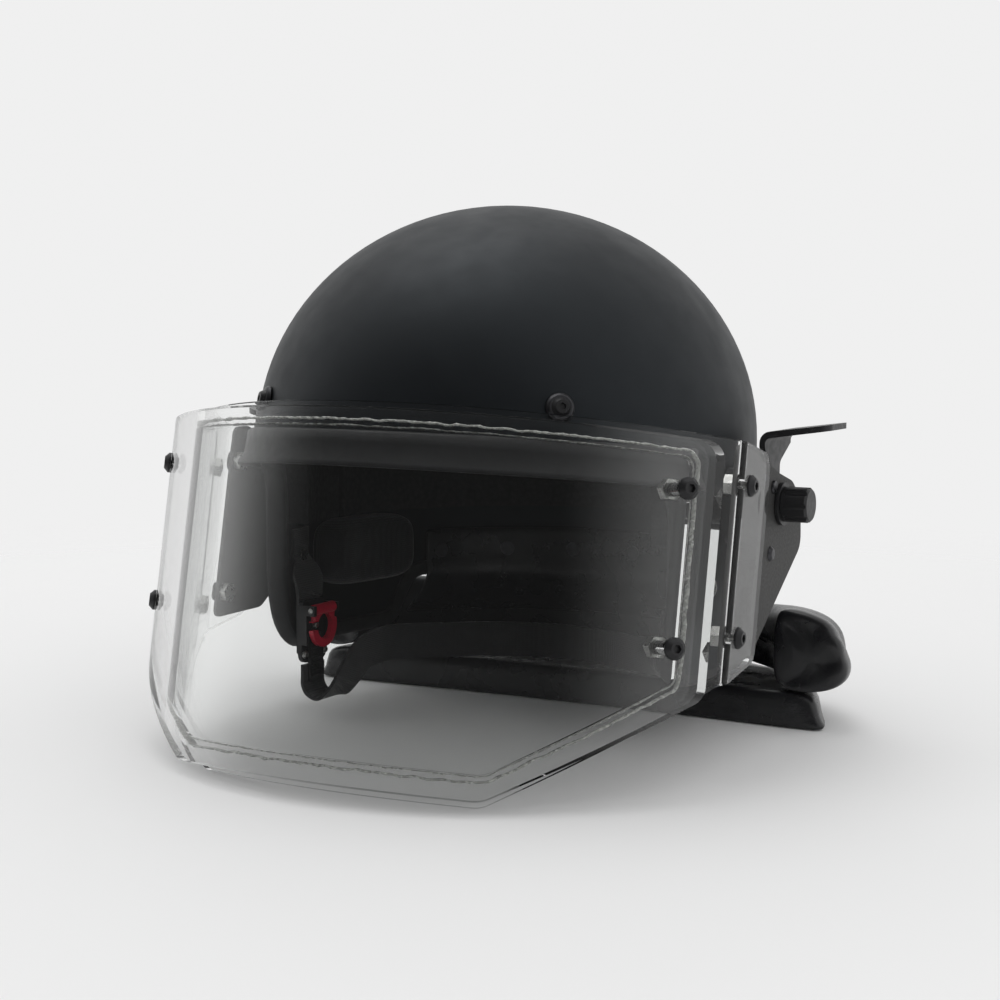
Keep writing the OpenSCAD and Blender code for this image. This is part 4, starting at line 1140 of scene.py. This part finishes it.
def roll_ring(g, rim, a, share):
    """A closed section of the neck guard's roll at angle a round the nape, drawn in by share."""
    foot, out, depth = nape_line(g, a)
    nape = math.sin(a) ** 2
    low, top, droop = g.band + GAP, rim - 13 * MM * nape, 7 * MM * nape
    middle = Vector((0.5, (low + top) / 2))
    section = [
        (0.9, low), (1, low + 7 * MM), (1, top - 6 * MM), (0.9, top), (0.5, top - 2 * MM - droop / 2),
        (0.22, top - 7 * MM - droop), (0.07, top - 16 * MM - droop), (0, low + 16 * MM), (0, low + 9 * MM),
        (0.1, low + 3.5 * MM), (0.34, low)
    ]
    ring = []
    for x, z in section:
        x = middle.x + (x - middle.x) * share
        z = middle.y + (z - middle.y) * share if z > middle.y else z
        ring.append(Vector((foot.x - out.x * depth * x, foot.y + MIDDLE - out.y * depth * x, z)))
    return ring


def creased(bm, folds):
    """Soft folds: each is a middle point, a direction across the fold, its width, reach and depth."""
    bm.normal_update()
    folds = [(Vector(middle), Vector(across).normalized(), *size) for middle, across, *size in folds]
    moves = []
    for vert in bm.verts:
        move = 0.0
        for middle, across, width, reach, depth in folds:
            away = vert.co - middle
            side = away.dot(across)
            along = (away - across * side).length
            move -= depth * math.exp(-((side / width) ** 2)) * math.exp(-((along / reach) ** 2))
        wander = noise.noise(vert.co * 38) * 0.7 * MM + noise.noise(vert.co * 95) * 0.25 * MM
        moves.append((vert, vert.normal * (move + min(0.0, wander))))
    for vert, move in moves:
        vert.co += move


class HELMET_OT_neck_guard(bpy.types.Operator):
    """Builds the leather neck guard: the padded roll, the cushion under it and the flap"""

    bl_idname = "helmet.neck_guard"
    bl_label = "Neck guard"

    def execute(self, context):
        sizes, g = settings("helmet_shell"), settings("helmet_guard")
        turns = [k * math.pi / 64 for k in range(1, 64)]
        rings = [roll_ring(g, sizes.rim, 0.0, 0.6), roll_ring(g, sizes.rim, 0.014, 0.9)]
        rings += [roll_ring(g, sizes.rim, a, 1.0) for a in turns]
        rings += [roll_ring(g, sizes.rim, math.pi - 0.014, 0.9), roll_ring(g, sizes.rim, math.pi, 0.6)]
        roll = shaped(lofted(rings), [subdivided(2)])
        folds = []
        for side in (-1, 1):
            x, y = side * g.half_width * 0.9, g.start + MIDDLE
            folds += [
                ((x, y + 0.002, 0.034), (-side * 0.5, 0, 1), 4 * MM, 16 * MM, 4.5 * MM),
                ((x - side * 8 * MM, y, 0.050), (side * 0.7, 0, 1), 3.5 * MM, 14 * MM, 3.0 * MM),
                ((x, y + 0.030, 0.040), (side * 0.2, 1, 0.7), 5 * MM, 26 * MM, 2.6 * MM),
                ((x, y + 0.012, 0.050), (0, 0.5, 1), 4 * MM, 18 * MM, 2.2 * MM),
                ((x, y + 0.055, 0.046), (0, 1, -0.5), 6 * MM, 22 * MM, 2.2 * MM),
                ((x * 0.8, y + 0.080, 0.036), (0.3 * side, 1, 0.4), 6 * MM, 24 * MM, 2.4 * MM),
                ((x, y + 0.024, 0.027), (0, -0.6, 1), 3.5 * MM, 20 * MM, 1.8 * MM),
            ]
        creased(roll, folds)
        piece = made_piece(roll, "neck_guard_roll", "helmet", "guard_leather", "neck_guard", sharp=math.pi)
        self.cushion(g)
        self.flap(sizes, g)
        return {"FINISHED"}

    def cushion(self, g):
        """Lofts the cushion from the table up; its levels are in millimetres, with their share."""
        top = g.band / MM
        levels = [
            (0, 0.965), (0.6, 0.985), (3, 1), (6, 0.99), (top - 5, 0.985), (top - 1.5, 0.96), (top, 0.9),
            (top - 2, 0.62), (top - 2.4, 0.2)
        ]
        half, start, depth = g.half_width - 14 * MM, g.start - 2 * MM, g.back - g.start - 12 * MM
        outline = [
            (half * math.cos(a), start + depth * math.sin(a)) for a in (math.pi * k / 48 for k in range(49))
        ]
        outline += [(-half * (1 - k / 8), start + 4 * MM * (1 - (1 - k / 8) ** 2)) for k in range(1, 16)]
        rings = []
        for z, share in levels:
            flare = 5 * MM * max(0.0, 1 - z / 7) if share > 0.9 else 0.0
            ring = []
            for x, y in outline:
                near_end = math.exp(-(((y - start) / (22 * MM)) ** 2)) * min(1.0, abs(x) / half) ** 8
                ring.append((
                    x * share + math.copysign(flare * near_end, x), MIDDLE + 0.1 + (y - 0.1) * share, z * MM
                ))
            rings.append(ring)
        bm = shaped(lofted(rings), [subdivided(1)])
        creased(bm, [])
        for vert in bm.verts:
            vert.co.z = max(vert.co.z, 0.0)
        piece = made_piece(
            bm, "neck_guard_cushion_leather", "helmet", "guard_leather", "neck_guard_cushion", sharp=math.pi
        )

    def flap(self, sizes, g):
        """Stretches the flap from the shell's inner wall down to the roll."""
        leather, count = 2 * MM, 60
        out = sizes.wall + GAP + sizes.trim + GAP + leather / 2
        low, high = g.band + GAP + 18 * MM, sizes.rim - sizes.trim - 3 * MM
        rows = []
        for z in (low, low + 8 * MM, high, 0.070, 0.078, 0.085, 0.092):
            row = []
            for k in range(count + 1):
                foot, way, depth = nape_line(g, math.radians(32 + 116 * k / count))
                foot -= way * (depth + GAP + leather / 2)
                upper = on_shell(sizes, math.atan2(foot.x, -foot.y), z, -out)
                lower = Vector((foot.x, foot.y + MIDDLE, z))
                row.append(lower.lerp(upper, min(1.0, (z - low) / (high - low))))
            rows.append(row)
        bm = bmesh.new()
        grid = [[bm.verts.new(p) for p in row] for row in rows]
        edges = [[bm.edges.new(pair) for pair in zip(row, row[1:])] for row in grid]
        for a, b in zip(edges, edges[1:]):
            bmesh.ops.bridge_loops(bm, edges=a + b)
        area = sum(face.calc_area() for face in bm.faces)
        bm = shaped(bm, [
            ("SOLIDIFY", {"thickness": leather, "offset": 0.0, "use_even_offset": True}), subdivided(1)
        ])
        bmesh.ops.recalc_face_normals(bm, faces=bm.faces)
        piece = made_piece(
            bm, "neck_guard_flap_leather", "helmet", "guard_leather", "neck_guard_flap", sharp=math.pi
        )


# A pad's section: its depth at each step, and how much of its outline it fills there
PAD_STEPS = [
    (0, 0.15), (0, 0.6), (0, 0.93), (0.06, 0.985), (0.16, 0.975), (0.26, 1), (0.66, 0.985), (0.9, 0.9),
    (0.99, 0.74), (1.03, 0.5), (1.0, 0.2)
]


def pad_loop(count=36):
    """A rounded outline from -0.5 to 0.5 both ways."""
    loop = []
    for k in range(count):
        a = 2 * math.pi * (k + 0.5) / count
        loop.append(Vector((
            math.copysign(abs(math.cos(a)) ** 0.5, math.cos(a)) / 2,
            math.copysign(abs(math.sin(a)) ** 0.5, math.sin(a)) / 2,
        )))
    return loop


def wall_pad(sizes, around, up, width, height, start, thickness):
    """Rings of a crowned pad on the shell's inner wall; around, up, width and height are in degrees."""
    rings = []
    for depth, share in PAD_STEPS:
        ring = []
        for q in pad_loop():
            level = up + height * q.y * share
            out = -start - thickness * depth
            angle = math.radians(level)
            rise = (sizes.rise + out) * math.sin(angle) if level > 0 else sizes.rise * angle
            place = math.radians(around - width * q.x * share)
            ring.append(on_shell(sizes, place, sizes.widest + rise, out))
        rings.append(ring)
    return rings


class HELMET_OT_pads(bpy.types.Operator):
    """Builds the comfort pads and cheek pads with their crowns and drawn-in sides"""

    bl_idname = "helmet.pads"
    bl_label = "Pads"

    def execute(self, context):
        sizes, g = settings("helmet_shell"), settings("helmet_guard")
        start = sizes.wall + GAP + g.liner + 0.8 * MM
        cheek = sizes.wall + 2 * GAP
        pads = {
            "front_pad": (0, 20, 56, 24, start, g.pad),
            "rear_pad": (180, 8, 60, 40, start, g.pad),
            "side_pad_left": (98, 14, 50, 36, start, g.pad),
            "side_pad_right": (-98, 14, 50, 36, start, g.pad),
            "cheek_pad_left": (102, -32.5, 36, 18, cheek, g.cheek_pad),
            "cheek_pad_right": (-102, -32.5, 36, 18, cheek, g.cheek_pad),
        }
        for node, place in pads.items():
            self.cover(node, wall_pad(sizes, *place))
        rings = []
        for depth, share in PAD_STEPS:
            out = -start - g.pad * depth
            ring = []
            for q in pad_loop():
                x, y = -0.074 * q.x * share, 0.096 * q.y * share
                drop = (x / (sizes.half_width + out)) ** 2 + (y / (sizes.half_length + out)) ** 2
                ring.append(Vector((x, y + MIDDLE, sizes.widest + (sizes.rise + out) * math.sqrt(1 - drop))))
            rings.append(ring)
        self.cover("crown_pad", rings)
        return {"FINISHED"}

    def cover(self, node, rings):
        """A padded cover over the rings, with shallow dents."""
        bm = shaped(lofted(rings), [subdivided(2)])
        bm.normal_update()
        for vert in bm.verts:
            dent = noise.noise(vert.co * 60) * 0.5 * MM + noise.noise(vert.co * 150) * 0.2 * MM
            vert.co += vert.normal * min(0.0, dent)
        piece = made_piece(bm, node + "_cover", "helmet", "pad_fabric", node, sharp=math.pi)


# Floor, background, lights and camera


class HELMET_OT_stage(bpy.types.Operator):
    """Sets up the pale floor, the soft lights and the camera"""

    bl_idname = "helmet.stage"
    bl_label = "Stage"

    def execute(self, context):
        stage = settings("helmet_stage")
        self.floor()
        self.world(stage)
        self.lamp("key_light", (-0.35, 0.15, 1.6), 1.2, stage.key)
        self.lamp("side_light", (1.3, -0.9, 0.9), 0.9, stage.side, mirrored=False)
        self.lamp("rear_light", (-0.9, 1.3, 1.1), 0.9, stage.rim, mirrored=False)
        self.camera()
        context.scene.view_settings.view_transform = "Standard"
        return {"FINISHED"}

    def floor(self):
        bm = bmesh.new()
        radius, below = 2.4, 0.1 * MM
        bmesh.ops.create_circle(bm, cap_ends=True, segments=96, radius=radius)
        bmesh.ops.translate(bm, vec=(0, 0, -below), verts=bm.verts)
        floor = placed(bm, "floor")
        f = Finish("pale_floor", "floor", 0.7)
        f.set("Specular IOR Level", 0.1)
        distance = f.node("ShaderNodeVectorMath")
        distance.operation = "LENGTH"
        f.put(distance, 0, f.place)
        inner, outer = 0.35, 1.1
        fade = f.spread(distance.outputs["Value"], 0.0, 1.0, inner, outer, "SMOOTHSTEP")
        f.mixed(fade, f.shader, f.node("ShaderNodeBsdfTransparent"))
        floor.data.materials.append(f.material)

    def world(self, stage):
        world = bpy.data.worlds.new("studio")
        bpy.context.scene.world = world
        world.use_nodes = True
        sky = Nodes(world.node_tree)
        # Shiny surfaces mirror a dark room in front of the helmet, between pale walls and a pale ceiling
        place = sky.node("ShaderNodeTexCoord").outputs["Generated"]
        way = sky.node("ShaderNodeSeparateXYZ", Vector=place).outputs["Y"]
        front, walls = -0.75, -0.1
        room = sky.spread(way, stage.mirror, stage.around, front, walls, "SMOOTHSTEP")
        path = sky.node("ShaderNodeLightPath")
        rays = {"Is Transmission Ray": stage.shade, "Is Camera Ray": stage.shade, "Glossy Depth": room}
        strength = stage.fill
        for ray, bright in rays.items():
            strength = sky.spread(path.outputs[ray], strength, bright)
        background = sky.tree.nodes["Background"]
        sky.put(background, "Strength", strength)
        sky.put(background, "Color", (1.0, 1.0, 1.0, 1.0))

    def lamp(self, name, place, size, power, mirrored=True):
        data = bpy.data.lights.new(name, "AREA")
        data.shape, data.size, data.energy = "DISK", size, power
        lamp = bpy.data.objects.new(name, data)
        bpy.context.scene.collection.objects.link(lamp)
        lamp.visible_glossy = mirrored
        lamp.visible_transmission = False
        lamp.location = place
        aim = Vector((0, 0, 0.12)) - Vector(place)
        lamp.rotation_euler = aim.to_track_quat("-Z", "Y").to_euler()

    def camera(self):
        """The photograph's view: a long lens a little above the visor, to the front and the left."""
        azimuth, distance, height = math.radians(27.4794), 0.969796, 0.21605
        heading, pitch, roll = azimuth + math.radians(0.28789), math.radians(5.58586), math.radians(0.26093)
        forward = Vector((
            -math.sin(heading) * math.cos(pitch), math.cos(heading) * math.cos(pitch), -math.sin(pitch)
        ))
        across = Vector((math.cos(heading), math.sin(heading), 0))
        up = across.cross(forward)
        right = across * math.cos(roll) + up * math.sin(roll)
        up = up * math.cos(roll) - across * math.sin(roll)
        data = bpy.data.cameras.new("photograph")
        sensor, focal_pixels, picture_pixels = 36.0, 1789.065, 1000
        data.sensor_width = sensor
        data.lens = sensor * focal_pixels / picture_pixels
        data.clip_start = 0.01
        camera = bpy.data.objects.new("photograph", data)
        bpy.context.scene.collection.objects.link(camera)
        turned = Matrix((right, up, -forward)).transposed().to_4x4()
        place = (distance * math.sin(azimuth), MIDDLE - distance * math.cos(azimuth), height)
        camera.matrix_world = Matrix.Translation(place) @ turned
        bpy.context.scene.camera = camera


OPERATORS = [
    HELMET_OT_stage, HELMET_OT_shell, HELMET_OT_edging, HELMET_OT_brow_seal, HELMET_OT_liner, HELMET_OT_pads,
    HELMET_OT_neck_guard, HELMET_OT_shell_fasteners, HELMET_OT_pivots, HELMET_OT_visor_layers,
    HELMET_OT_seal_bead, HELMET_OT_visor_bolts, HELMET_OT_arms, HELMET_OT_straps,
]


class HELMET_PT_panel(bpy.types.Panel):
    """Lists the helmet's pieces and their sizes"""

    bl_idname = "HELMET_PT_panel"
    bl_label = "Tactical helmet"
    bl_space_type = "VIEW_3D"
    bl_region_type = "UI"
    bl_category = "Helmet"

    def draw(self, context):
        for operator in OPERATORS:
            self.layout.operator(operator.bl_idname)
        for name, group in GROUPS.items():
            box = self.layout.box()
            box.label(text=group.__doc__)
            for key in group.__annotations__:
                box.prop(getattr(context.scene, name), key)


CLASSES = [*GROUPS.values(), *OPERATORS, HELMET_PT_panel]


def register():
    for item in CLASSES:
        bpy.utils.register_class(item)
    for name, group in GROUPS.items():
        setattr(bpy.types.Scene, name, bpy.props.PointerProperty(type=group))


def unregister():
    for name in GROUPS:
        delattr(bpy.types.Scene, name)
    for item in reversed(CLASSES):
        bpy.utils.unregister_class(item)


def main():
    register()
    for operator in OPERATORS:
        group, name = operator.bl_idname.split(".")
        getattr(getattr(bpy.ops, group), name)()


if __name__ == "__main__":
    main()
